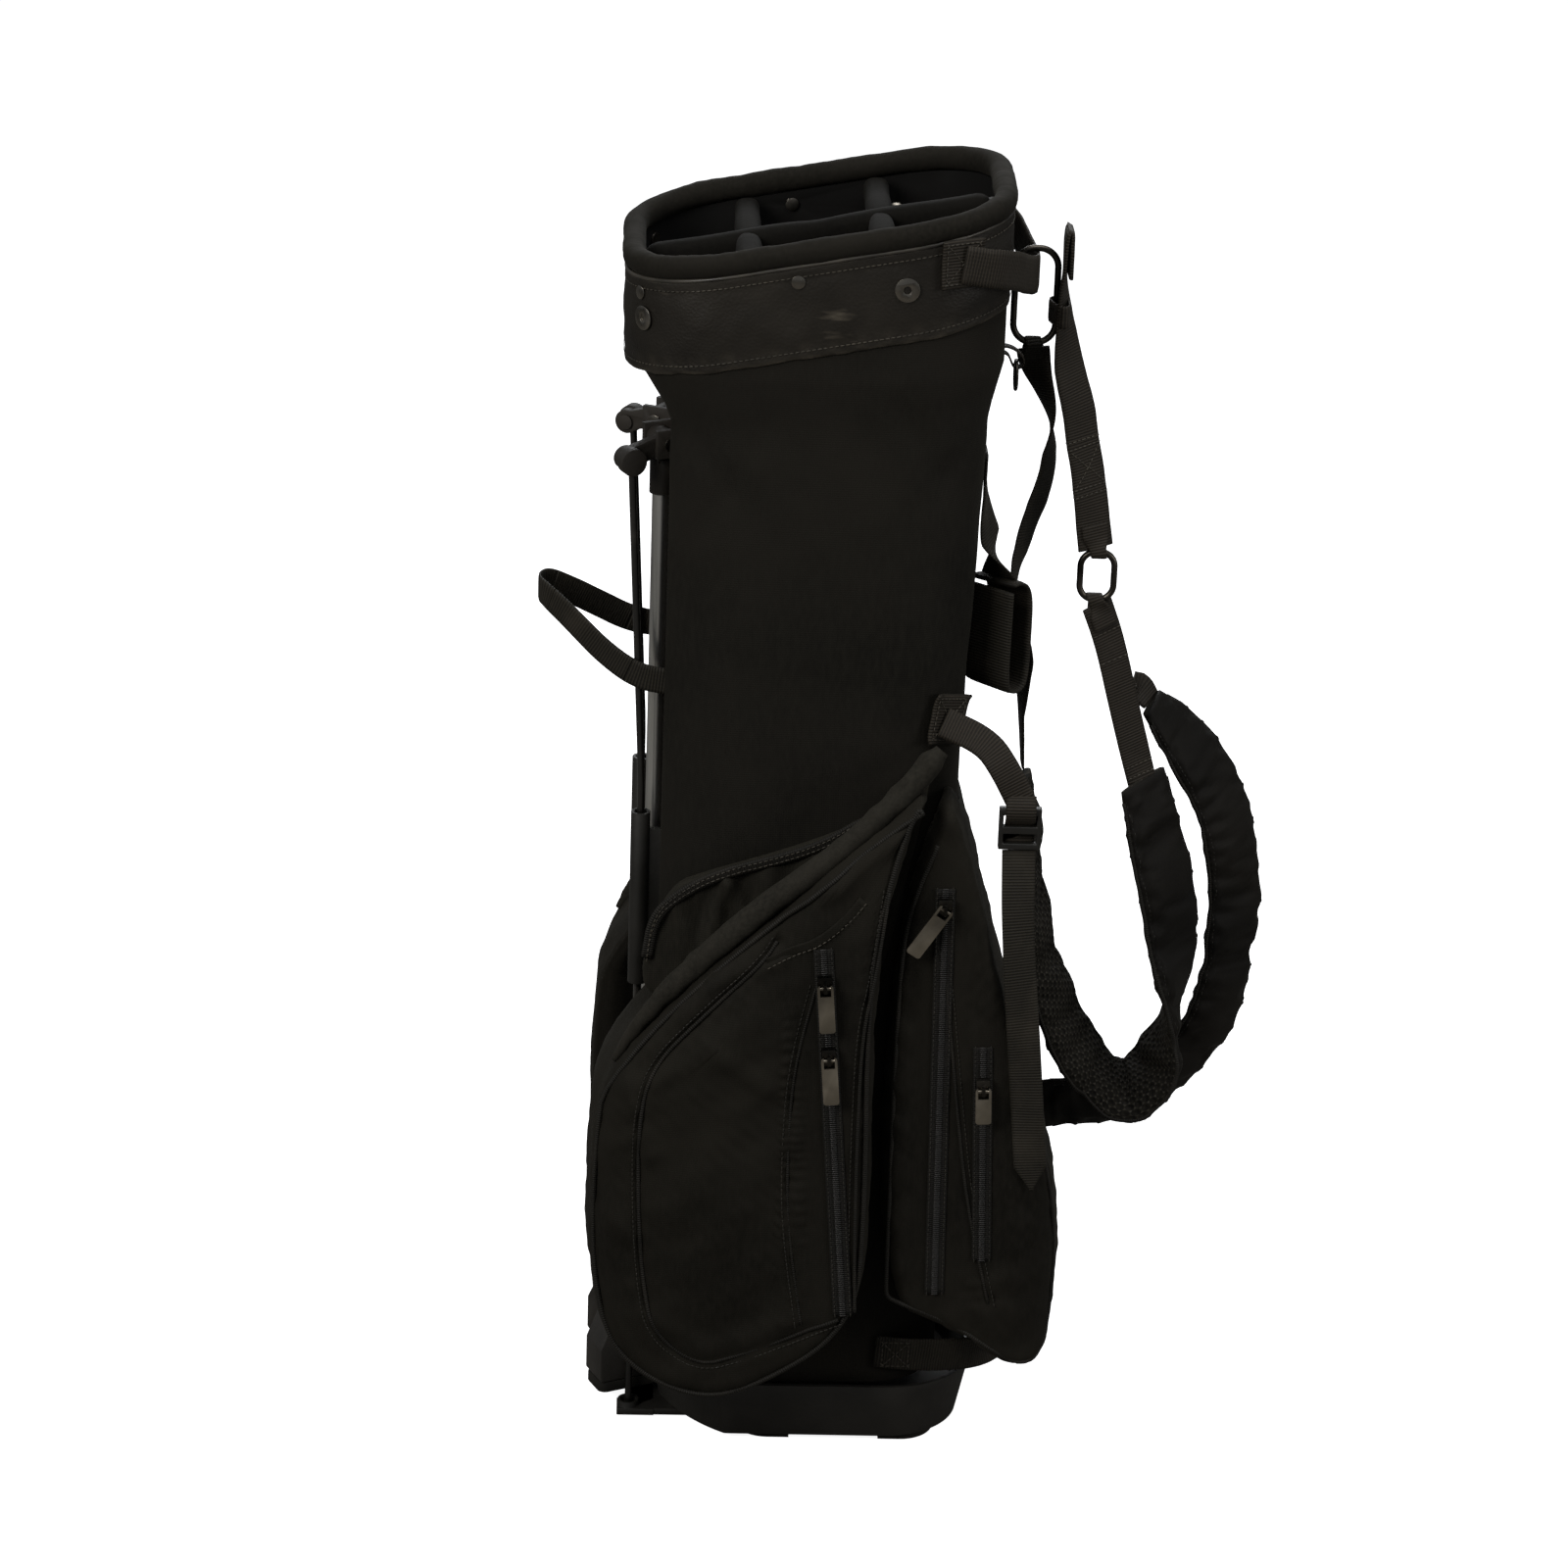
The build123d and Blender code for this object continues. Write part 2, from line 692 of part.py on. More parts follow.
def mouth_roll(radius):
    """The padded edge of a side pocket's slanted mouth."""
    y = -body_depth / 2 - pocket_depth / 2 - 4
    lift = roll_thickness + slack + 1.5
    points = [(-pocket_left + 12, y - 4, 318 + lift), (-66, y - 8, 374 + lift),
              (0, y - 6, 428 + lift + 2), (52, y, 470 + lift + 4), (88, y + 14, 514 + lift + 2)]
    path = FilletPolyline(*points, radius=120)
    return sweep(Plane(origin=path @ 0, z_dir=path % 0) * Circle(radius), path)


def pocket_gussets():
    gusset = pocket_gusset()
    return Compound(children=[gusset, mirrored(gusset)])


def pocket_rolls():
    roll = mouth_roll(roll_thickness)
    return Compound(children=[roll, mirrored(roll)])


def ball_pocket():
    points = [(62, 126), (62, 380), (88, 476), (98, 492), (116, 430), (142, 330), (168, 250),
              (ball_reach, 180), (ball_reach, 96), (168, 68), (112, 104)]
    pocket = outline(points, -ball_front, ball_back, 5)
    plan = Pos(ball_reach / 2, (ball_back - ball_front) / 2, 0) * extrude(
        RectangleRounded(ball_reach + 2, ball_front + ball_back, 40), big)
    return (pocket & plan) - outside_tube() - base_clear()


# ---------------------------------------------------------------- zips

tape_width = 22.0
tape_wall = 1.0
chain_width = 5.0
chain_wall = 1.4
slider_size = (9.0, 13.0, 4.5)
arch_height = 4.6
pull_width = 10.5
pull_wall = 1.6
pull_bar = 0.8            # radius of the bar that the arch holds
pocket_face = -body_depth / 2 - pocket_depth
zips = {                  # top, bottom, face
    "pocket": ((14, 400), (36, 132), pocket_face),
    "ball": ((94, 432), (99, 134), -ball_front),
    "accessory": ((124, 318), (130, 160), -ball_front),
}
sliders = {               # zip, distance of the slider below the zip's top, pull length, pull turn
    "pocket_upper": ("pocket", 24, 34, 0),
    "pocket_lower": ("pocket", 76, 34, 0),
    "ball": ("ball", 12, 40, -34),
    "accessory": ("accessory", 28, 26, 0),
}


def zip_plane(name, down):
    """A place on a zip: X across it, Y up along it, Z out of the pocket's face."""
    top, bottom, face = zips[name]
    along = Vector(bottom[0] - top[0], 0, bottom[1] - top[1]).normalized()
    origin = Vector(top[0], face, top[1]) + along * down
    out = Vector(0, -1, 0)
    return Plane(origin=origin, x_dir=(along * -1).cross(out), z_dir=out)


def zip_length(name):
    top, bottom, face = zips[name]
    return sqrt((bottom[0] - top[0]) ** 2 + (bottom[1] - top[1]) ** 2)


def zip_tapes():
    tapes = []
    for name in zips:
        length = zip_length(name)
        tape = Pos(0, 0, seam + tape_wall / 2) * Box(tape_width, length, tape_wall)
        chain = Pos(0, 0, seam + tape_wall + chain_wall / 2) * Box(chain_width, length, chain_wall)
        tapes.append(zip_plane(name, length / 2) * (tape + chain))
    return Compound(children=tapes)


def slider_seat():
    """Height of the slider's underside over the pocket's face, and of its arch's hole."""
    low = seam + tape_wall + chain_wall + seam
    return low, low + slider_size[2] + arch_height / 2


def zip_slider(name):
    zip_name, down, length, turn = sliders[name]
    low, hole = slider_seat()
    body = Pos(0, 0, low + slider_size[2] / 2) * Box(*slider_size)
    arch = Pos(0, 0, hole) * Box(2.4, 6.4, arch_height)
    arch -= Pos(0, 0, hole) * Rot(0, 90, 0) * Cylinder(1.9, 3)
    return zip_plane(zip_name, down) * (body + arch)


def zip_pull(name):
    zip_name, down, length, turn = sliders[name]
    low, hole = slider_seat()
    window = (7.2, 5.0)
    plate = Pos(0, -length / 2 + 2, 0) * extrude(
        RectangleRounded(pull_width, length, 2), pull_wall / 2, both=True)
    plate -= Pos(0, -window[1] / 2 - pull_bar, 0) * Box(*window, 3)
    plate -= Pos(0, 3, 0) * Box(window[0], 6, 3)
    plate += Rot(0, 90, 0) * Cylinder(pull_bar, pull_width - 1.5)
    return zip_plane(zip_name, down) * Pos(0, 0, hole) * Rot(0, 0, turn) * plate


# ---------------------------------------------------------------- shoulder straps

bridle_x = cuff_side + bridle_reach
bridle_z = rim_height - bridle_drop
ring_x = cuff_side + 3 + ring_width / 2
ring_z = bridle_z + webbing / 2 + 0.3 + wire * 2 - ring_length / 2
strap_x = ring_x + ring_width / 2 + slack + wide_wall / 2
link_x = strap_x + link_reach
link_z = rim_height - link_drop
tag_x = cuff_side + tag_reach
tag_z = rim_height - tag_drop
buckle_x = body_right + buckle_reach
buckle_y = -body_depth / 2 - buckle_out


def corner_plane(width, depth, corner, shift, angle, height):
    """A place on a rounded corner on the strap side: X level along the skin, Z outwards."""
    nx, ny = sin(radians(angle)), -cos(radians(angle))
    x = shift + width / 2 - corner + corner * nx
    y = -(depth / 2 - corner) + corner * ny
    return Plane(origin=(x, y, height), x_dir=(-ny, nx, 0), z_dir=(nx, ny, 0))


def wire_ring(width, length, centre):
    path = RectangleRounded(width - 2 * wire, length - 2 * wire, width / 2 - wire - 1).wire()
    ring = sweep(Plane(origin=path @ 0, z_dir=path % 0) * Circle(wire), path)
    return Pos(*centre) * Rot(90, 0, 0) * ring


def upper_anchors():
    """Sewn patches on the cuff's corners, the webbing between them, and the wire ring's tab."""
    place = corner_plane(cuff_width, cuff_depth, cuff_corner, 0, anchor_angle,
                         rim_height - anchor_drop)
    patch = place * Pos(0, 0, slack + 0.8) * Box(30, 32, 1.6)
    start = (place * Pos(0, 0, slack + 3.2)).position
    half = [(start.X, start.Y, start.Z), (cuff_side - 2, -cuff_depth / 2 + 14, rim_height - 20),
            (bridle_x, -ring_width / 2, bridle_z)]
    path = half + [(x, -y, z) for x, y, z in reversed(half)]
    bridle = ribbon(path, 14, webbing, 2.6, across=(0, 0, 1))
    tab = block(cuff_side - 1.5, tag_x + 3, tag_y - 3, tag_y + 3, tag_z + 4.4, tag_z + 12.4)
    tab += block(tag_x - 3, tag_x + 3, tag_y - 3, tag_y + 3, tag_z - 4.6, tag_z + 5.4)
    tab -= Pos(tag_x, tag_y, tag_z) * Rot(90, 0, 0) * Cylinder(2.4, 20)
    return Compound(children=[patch, mirrored(patch), bridle, tab])


def tag_ring():
    return Pos(tag_x, tag_y, tag_z - tag_radius + 0.3) * Rot(0, 90, 0) * Torus(tag_radius, 1.2)


def top_ring():
    return wire_ring(ring_width, ring_length, (ring_x, 0, ring_z))


def strap_ring():
    return wire_ring(link_width, link_length, (link_x, strap_y, link_z))


def hung(points, y):
    """Points given from the lower strap ring."""
    return [(link_x + x, y, link_z + z) for x, z in points]


def strap_webbing_upper():
    path = [(strap_x, strap_y, rim_height - 6), (strap_x, strap_y, rim_height - 80),
            (strap_x + 19, strap_y, rim_height - 158),
            (link_x - 2, strap_y, link_z + link_length / 2 + slack + 0.15)]
    return ribbon(path, 60, webbing, wide_wall)


def strap_webbing_lower():
    """From the ring to the inner pad, with a cross piece and an end for the outer pad."""
    end_x, end_z = inner_pad[-1]
    top = -link_length / 2 - slack - 0.4
    path = hung([(1, top), (11, -46), (end_x - 0.4, end_z + 0.4)], strap_y)
    fall = Vector(11 - end_x, 0, -46 - end_z).normalized()
    middle = hung([(26.4, -102)], (strap_y + outer_pad_y) / 2)[0]
    yoke = Plane(origin=middle, z_dir=fall) * Box(2.4, outer_pad_y - strap_y + 22, 20)
    out_x, out_z = outer_pad[0]
    end = hung([(26, -100), (out_x - 11, out_z + 12.5), (out_x - 0.3, out_z + 0.35)], outer_pad_y)
    return ribbon(path, 30, 20, 2.4) + yoke + ribbon(end, 5, 22, 2.4)


def strap_webbing_rear():
    y = strap_y + rear_y
    low = ring_z - ring_length / 2 - slack
    end_x, end_z = inner_pad[0]
    path = [(ring_x, y, low)] + hung([(-33, 104), (-36, 60), (-51, 12), (-54, -20), (-44, -52),
                                      (-45, -92), (end_x, end_z + slack)], y)
    return ribbon(path, 24, 22, webbing_wall)


def shoulder_pad_inner():
    return ribbon(hung(inner_pad, pad_y), pad_bend, pad_width, pad_wall)


def shoulder_pad_outer():
    return ribbon(hung(outer_pad, outer_pad_y), pad_bend, pad_width - 4, pad_wall)


def lower_anchor():
    place = corner_plane(body_width, body_depth, body_corner, body_shift, 44, lower_anchor_height)
    patch = place * Pos(0, 0, slack + 2) * Box(34, 44, 1.6)
    start = (place * Pos(4, 0, slack + 5.4)).position
    path = [(start.X, start.Y, start.Z), (buckle_x - 16, buckle_y + 2, lower_anchor_height - 18),
            (buckle_x, buckle_y, buckle_low + 32.8)]
    return Compound(children=[patch, ribbon(path, 10, 20, webbing_wall, across=(0, 0, 1))])


def strap_buckle():
    def slab(half, wall, low, high):
        return block(buckle_x - half, buckle_x + half, buckle_y - wall, buckle_y + wall,
                     buckle_low + low, buckle_low + high)
    return slab(14, 3, 0, 29) - slab(11, 4, 4, 11) - slab(11, 4, 16, 24)


def strap_tail():
    """The loose end of the webbing, hanging clear of the ball pocket."""
    top = buckle_low - 1.1
    path = [(buckle_x, buckle_y, top), (buckle_x + 1, -ball_front - 1, top - 55),
            (buckle_x + 10, -ball_front - 4, top - 145),
            (buckle_x + 19, -ball_front - 4, top - tail_length)]
    return ribbon(path, 60, 22, webbing_wall, across=(1, 0, 0))


def grab_handle():
    near = body_right + 4.5
    far = body_right + handle_reach
    low_y, high_y = handle_y - handle_width / 2, handle_y + handle_width / 2
    wall = 3.5
    loop = block(near, far, low_y, high_y, handle_low, handle_high)
    loop -= block(-big, big, low_y + wall, high_y - wall, handle_low + wall, handle_high - wall)
    flap = ribbon([(near + 3, handle_y, handle_high + 86), (near + 4.5, handle_y, handle_high + 42),
                   (near + 15.5, handle_y, handle_high - 1.5)], 30, 30, 2)
    return loop + flap


def base_handle():
    y = body_depth / 2 + slack + webbing_wall / 2
    side, z = body_right, base_handle_height
    half = [(side - 44, -y, z), (side - 14, -y - 2, z - 2), (side + 34, -y + 19.4, z - 10),
            (side + base_handle_reach, -22, z - 18)]
    path = half + [(x, -y, z) for x, y, z in reversed(half)]
    return ribbon(path, 22, 24, webbing_wall, across=(0, 0, 1))


# ---------------------------------------------------------------- write

def write(name, shape):
    export_step(shape, f"parts/{name}.step")


os.makedirs("parts", exist_ok=True)
single = [base_cup, base_tread, heel_plate, heel_hinge_pin, body_shell, spine_stays, collar_ring,
          collar_band, rim_roll, divider_frame, divider_padding, divider_panels, collar_rivets,
          collar_bolts, hub_bracket, hub_screws, leg_pivot_pins, rod_guides, leg_strap,
          ball_pocket, pocket_gussets, pocket_rolls, zip_tapes, upper_anchors, tag_ring, top_ring,
          strap_ring, strap_webbing_upper, strap_webbing_lower, strap_webbing_rear,
          shoulder_pad_inner, shoulder_pad_outer, lower_anchor, strap_buckle, strap_tail,
          grab_handle, base_handle]
paired = {"leg_head": leg_head, "leg_tube": leg_tube, "leg_foot": leg_foot,
          "foot_sole": foot_sole, "actuator_rod": actuator_rod, "rod_end": rod_end}
for make in single:
    write(make.__name__, make())
for name, make in paired.items():
    shape = make()
    write(name + "_right", shape)
    write(name + "_left", mirrored(shape))
pocket = side_pocket()
write("side_pocket_near", pocket)
write("side_pocket_far", mirrored(pocket))
for name in sliders:
    write(name + "_slider", zip_slider(name))
    write(name + "_pull", zip_pull(name))
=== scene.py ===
"""Golf stand bag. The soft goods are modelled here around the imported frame, and the hard parts
get softened edges and their real finishes. Modelling sizes are millimetres."""
import bpy
import bmesh
import numpy as np
from math import cos, pi, radians, sin, tan
from mathutils import Matrix, Vector


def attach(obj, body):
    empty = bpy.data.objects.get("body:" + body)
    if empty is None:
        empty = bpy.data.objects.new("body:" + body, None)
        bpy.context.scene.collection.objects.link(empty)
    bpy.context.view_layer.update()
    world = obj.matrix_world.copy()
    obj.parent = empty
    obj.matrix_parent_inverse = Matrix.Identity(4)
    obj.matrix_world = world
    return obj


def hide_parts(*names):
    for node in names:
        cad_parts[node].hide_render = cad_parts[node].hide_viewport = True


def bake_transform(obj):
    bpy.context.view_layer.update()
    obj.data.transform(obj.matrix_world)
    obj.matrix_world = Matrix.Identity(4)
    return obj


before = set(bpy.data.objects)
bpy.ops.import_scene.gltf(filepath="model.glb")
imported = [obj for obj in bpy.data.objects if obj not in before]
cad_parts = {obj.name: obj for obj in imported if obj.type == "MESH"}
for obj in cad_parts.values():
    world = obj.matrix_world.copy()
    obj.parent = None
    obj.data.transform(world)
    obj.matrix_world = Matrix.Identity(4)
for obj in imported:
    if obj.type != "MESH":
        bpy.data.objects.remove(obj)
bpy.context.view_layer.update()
bpy.context.scene.view_settings.view_transform = "Standard"
MM = 0.001
X_WAY, Y_WAY, Z_WAY = np.eye(3)

# ---- sizes shared with the frame, in millimetres ----
RIM = 862.0               # height of the rim at X = 0
SLOPE = tan(radians(10.5))    # rise of the rim towards +X
CUFF = (248.0, 196.0, 68.0, 0.0)      # the cuff's width, depth, corner radius and shift in X
TUBE = (204.0, 184.0, 50.0, 4.0)      # the same for the tube
CHANNEL_X = -82.0         # floor of the channel that is pressed in for the legs
CHANNEL_HALF = 61.0       # half the width of that channel
CUFF_TOP = 15.0           # depth of the cuff's upper edge under the rim
CUFF_FOOT = 76.0          # and of its lower edge
POCKET_FACE = -150.0      # Y of the side pockets' front
BALL_FACE = -120.0        # Y of the ball pocket's front
BALL_CORNER = 40.0        # radius of the ball pocket's corner in plan
BALL_CORNER_X = 145.0     # X of that corner's centre
POCKET_ZIP_CLEAR = 13.0   # cloth within this distance of a side pocket's zip stays flat
BALL_ZIP_CLEAR = 11.5     # and of a ball pocket's zip


# ---------------------------------------------------------------- numbers and curves

def ease(t):
    """A soft step from 0 to 1 while t goes from 0 to 1."""
    t = np.clip(t, 0, 1)
    return t * t * (3 - 2 * t)


def ripple(points, size, seed, octaves=3):
    """A smooth random field over points, about -1 to 1, whose folds are `size` apart."""
    draw = np.random.default_rng(seed)
    total = np.zeros(len(points))
    for octave in range(octaves):
        for _ in range(4):
            way = draw.normal(size=3)
            way /= np.linalg.norm(way)
            phase = draw.uniform(0, 2 * pi)
            total += 0.5 ** octave * np.sin(points @ way * 2 * pi / size * 1.9 ** octave + phase)
    return total / 3.2


def rounded(points, times, closed=False):
    """Corner cutting, which turns a rough run of points into a soft line."""
    points = np.array(points, float)
    for _ in range(times):
        after = np.roll(points, -1, 0)
        cut = np.stack([points * .75 + after * .25, points * .25 + after * .75], 1)
        cut = cut.reshape(-1, points.shape[1])
        points = cut if closed else np.vstack([points[:1], cut[:-2], points[-1:]])
    return points


def spaced(points, count, closed=False):
    """The same line with `count` evenly spaced points."""
    points = np.array(points, float)
    if closed:
        points = np.vstack([points, points[:1]])
    run = np.r_[0, np.cumsum(np.linalg.norm(np.diff(points, axis=0), axis=1))]
    at = np.linspace(0, run[-1], count, endpoint=not closed)
    return np.stack([np.interp(at, run, points[:, k]) for k in range(points.shape[1])], 1)


def smoothed(values, half, beyond="edge"):
    """A running mean over 2 * half + 1 neighbours. beyond says how the ends are continued."""
    count = 2 * half + 1
    return np.convolve(np.pad(values, half, mode=beyond), np.ones(count) / count, mode="valid")


def line_length(points):
    """The length of a run of points."""
    return float(np.linalg.norm(np.diff(points, axis=0), axis=1).sum())


def along_line(points, line):
    """For each 2-D point: distance to the line, distance run along it, and its side."""
    a, b = line[:-1], line[1:]
    step = b - a
    size = (step ** 2).sum(1)
    run = np.r_[0, np.cumsum(np.sqrt(size))][:-1]
    best = np.full(len(points), 1e9)
    where = np.zeros(len(points))
    side = np.zeros(len(points))
    for k in range(len(a)):
        off = points - a[k]
        t = np.clip(off @ step[k] / size[k], 0, 1)
        gap = np.hypot(off[:, 0] - t * step[k][0], off[:, 1] - t * step[k][1])
        near = gap < best
        best[near] = gap[near]
        where[near] = run[k] + t[near] * np.sqrt(size[k])
        side[near] = np.sign(step[k][0] * off[near, 1] - step[k][1] * off[near, 0])
    return best, where, side


def unit(v):
    """The same directions, each of length 1."""
    return v / np.maximum(np.linalg.norm(v, axis=-1, keepdims=True), 1e-9)


# ---------------------------------------------------------------- meshes

def mesh_piece(name, verts, faces, uvs, wear):
    """An object from points in millimetres. wear is a value from 0 to 1 for each point, or
    nothing."""
    mesh = bpy.data.meshes.new(name)
    mesh.from_pydata((np.asarray(verts) * MM).tolist(), [], faces)
    layer = mesh.uv_layers.new(name="UVMap")
    layer.data.foreach_set("uv", np.asarray(uvs, np.float32).ravel())
    if wear is not None:
        layer = mesh.attributes.new("wear", "FLOAT", "POINT")
        layer.data.foreach_set("value", np.asarray(wear, np.float32))
    mesh.validate()
    return linked(name, mesh)


def grid_piece(name, grid, around=True, caps=(False, False), wear=None):
    """A skin over a grid of points, rows by columns. Its UV map is in metres."""
    rows, cols = grid.shape[:2]
    verts = [grid.reshape(-1, 3)]
    wrap = np.concatenate([grid, grid[:, :1]], 1) if around else grid
    u = np.concatenate([np.zeros((rows, 1)),
                        np.cumsum(np.linalg.norm(np.diff(wrap, axis=1), axis=2), 1)], 1)
    u = np.repeat(u[rows // 2][None], rows, 0) * MM
    v = np.concatenate([np.zeros((1, wrap.shape[1])),
                        np.cumsum(np.linalg.norm(np.diff(wrap, axis=0), axis=2), 0)], 0)
    v = np.repeat(v.mean(1)[:, None], wrap.shape[1], 1) * MM
    last = cols if around else cols - 1
    faces, uvs = [], []
    for i in range(rows - 1):
        for j in range(last):
            k = (j + 1) % cols
            faces.append((i * cols + j, i * cols + k, (i + 1) * cols + k, (i + 1) * cols + j))
            uvs += [(u[i, j], v[i, j]), (u[i, j + 1], v[i, j + 1]),
                    (u[i + 1, j + 1], v[i + 1, j + 1]), (u[i + 1, j], v[i + 1, j])]
    count = rows * cols
    worn = None if wear is None else [np.asarray(wear, float).reshape(-1)]
    for cap, row, flip in ((caps[0], 0, True), (caps[1], rows - 1, False)):
        if not cap:
            continue
        verts.append(grid[row].mean(0)[None])
        if worn is not None:
            worn.append(np.array([worn[0].reshape(rows, cols)[row].mean()]))
        for j in range(last):
            pair = (row * cols + j, row * cols + (j + 1) % cols)
            face = (pair[1], pair[0], count) if flip else (pair[0], pair[1], count)
            faces.append(face)
            uvs += [(u[row, j], v[row, j])] * 3
        count += 1
    return mesh_piece(name, np.vstack(verts), faces, uvs,
                      None if worn is None else np.concatenate(worn))


def edited(mesh, change):
    """Opens the mesh for editing, lets change work on it and writes it back."""
    work = bmesh.new()
    work.from_mesh(mesh)
    change(work)
    work.to_mesh(mesh)
    work.free()


def outwards(piece):
    """Turns every face outwards."""
    edited(piece.data, lambda work: bmesh.ops.recalc_face_normals(work, faces=work.faces))


def spots_of(mesh):
    """The mesh's points in metres, one row each."""
    at = np.zeros(len(mesh.vertices) * 3)
    mesh.vertices.foreach_get("co", at)
    return at.reshape(-1, 3)


def move_spots(mesh, at):
    """Puts the mesh's points at these places in metres."""
    mesh.vertices.foreach_set("co", at.reshape(-1))
    mesh.update()


def point_normals(mesh):
    """The outward direction at each of the mesh's points."""
    return np.array([v.normal[:] for v in mesh.vertices])


def linked(name, data):
    """A new object for a mesh, light or camera, in the scene."""
    piece = bpy.data.objects.new(name, data)
    bpy.context.collection.objects.link(piece)
    return piece


def applied(piece):
    """Turns the piece's modifiers into its mesh."""
    bpy.context.view_layer.update()
    ready = piece.evaluated_get(bpy.context.evaluated_depsgraph_get())
    mesh = bpy.data.meshes.new_from_object(ready)
    piece.modifiers.clear()
    piece.data = mesh
    return piece


def thicken(piece, wall, offset=-1.0):
    """Gives a skin its wall: inwards at offset -1, to both sides at 0."""
    change = piece.modifiers.new("wall", "SOLIDIFY")
    change.thickness = wall * MM
    change.offset = offset
    change.use_even_offset = True
    return applied(piece)


def coat(piece, material):
    """Gives the piece its one material and smooth shading."""
    piece.data.materials.clear()
    piece.data.materials.append(material)
    piece.data.polygons.foreach_set("use_smooth", [True] * len(piece.data.polygons))


def finish(piece, material, body="bag", replaces=()):
    """Faces out, material, slot, the body it rides on and the frame's parts it stands for."""
    outwards(piece)
    coat(piece, material)
    piece.data.update()
    if body:
        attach(piece, body)
    if replaces:
        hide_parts(*replaces)


def joined(name, pieces):
    """Several unfinished pieces as one mesh."""
    work = bmesh.new()
    for piece in pieces:
        work.from_mesh(piece.data)
        bpy.data.objects.remove(piece)
    mesh = bpy.data.meshes.new(name)
    work.to_mesh(mesh)
    work.free()
    return linked(name, mesh)


def skin_normals(grid):
    """Normals of a skin whose rows are closed."""
    du = np.roll(grid, -1, 1) - np.roll(grid, 1, 1)
    dv = np.gradient(grid, axis=0)
    return unit(np.cross(du, dv))


def frames(path, across):
    """Tangent, width direction and face direction at each point of a path."""
    tangent = unit(np.gradient(path, axis=0))
    across = np.array(across, float)
    if across.ndim == 1:
        across = np.repeat(across[None], len(path), 0)
    else:
        at = np.linspace(0, 1, len(path))
        given = np.linspace(0, 1, len(across))
        across = np.stack([np.interp(at, given, across[:, k]) for k in range(3)], 1)
    across = unit(across - (across * tangent).sum(1, keepdims=True) * tangent)
    return tangent, across, unit(np.cross(tangent, across))


def soft_path(points, step=3.0, closed=False):
    """A soft line along rough points, with a point about every `step`."""
    fine = rounded(points, 4, closed)
    count = max(8, int(line_length(fine) / step))
    return spaced(fine, count, closed)


def sweep(path, across, section, scale):
    """Points of a closed section (width, height) carried along a path. scale gives its size at
    each point."""
    _, wide, face = frames(path, across)
    if scale is None:
        scale = np.ones((len(path), 2))
    return (path[:, None] + wide[:, None] * (section[None, :, 0] * scale[:, :1])[..., None]
            + face[:, None] * (section[None, :, 1] * scale[:, 1:])[..., None])


def swept(name, path, across, section, closed=False, scale=None):
    """The swept section as a piece: a ring, or a bar with capped ends."""
    grid = sweep(path, across, section, scale)
    if closed:
        return grid_piece(name, np.concatenate([grid, grid[:1]], 0))
    return grid_piece(name, grid, caps=(True, True))


def oval(width, height, count, square=2.0):
    """An oval section. It grows squarer as `square` rises above 2."""
    t = np.linspace(0, 2 * pi, count, endpoint=False)
    c, s = np.cos(t), np.sin(t)
    power = 2.0 / square
    return np.stack([width / 2 * np.sign(c) * np.abs(c) ** power,
                     height / 2 * np.sign(s) * np.abs(s) ** power], 1)


def tape_section(width, wall, across=9):
    """A flat woven section, a little thinner at its selvedges."""
    x = np.linspace(-width / 2, width / 2, across)
    half = wall / 2 * (1 - 0.45 * np.abs(2 * x / width) ** 8)
    top = np.stack([x, half], 1)
    return np.vstack([top, np.stack([x[::-1], -half[::-1]], 1)])


thread_rows = {}          # kind of row to a list of (points, outward directions)


def sew(kind, points, outs, lift):
    """Notes a row of stitches or zip teeth, `lift` above the points. It is made at the end."""
    points = np.asarray(points, float)
    outs = np.asarray(outs, float)
    if outs.ndim == 1:
        outs = np.repeat(outs[None], len(points), 0)
    thread_rows.setdefault(kind, []).append((points + lift * outs, outs))


# ---------------------------------------------------------------- repeats along lines and on points

def add(tree, kind, links=None, **settings):
    """Adds one node with its settings, input values and links."""
    new = tree.nodes.new(kind)
    for key, value in settings.items():
        setattr(new, key, value)
    for key, value in (links or {}).items():
        if isinstance(value, bpy.types.NodeSocket):
            tree.links.new(value, new.inputs[key])
        else:
            new.inputs[key].default_value = value
    return new


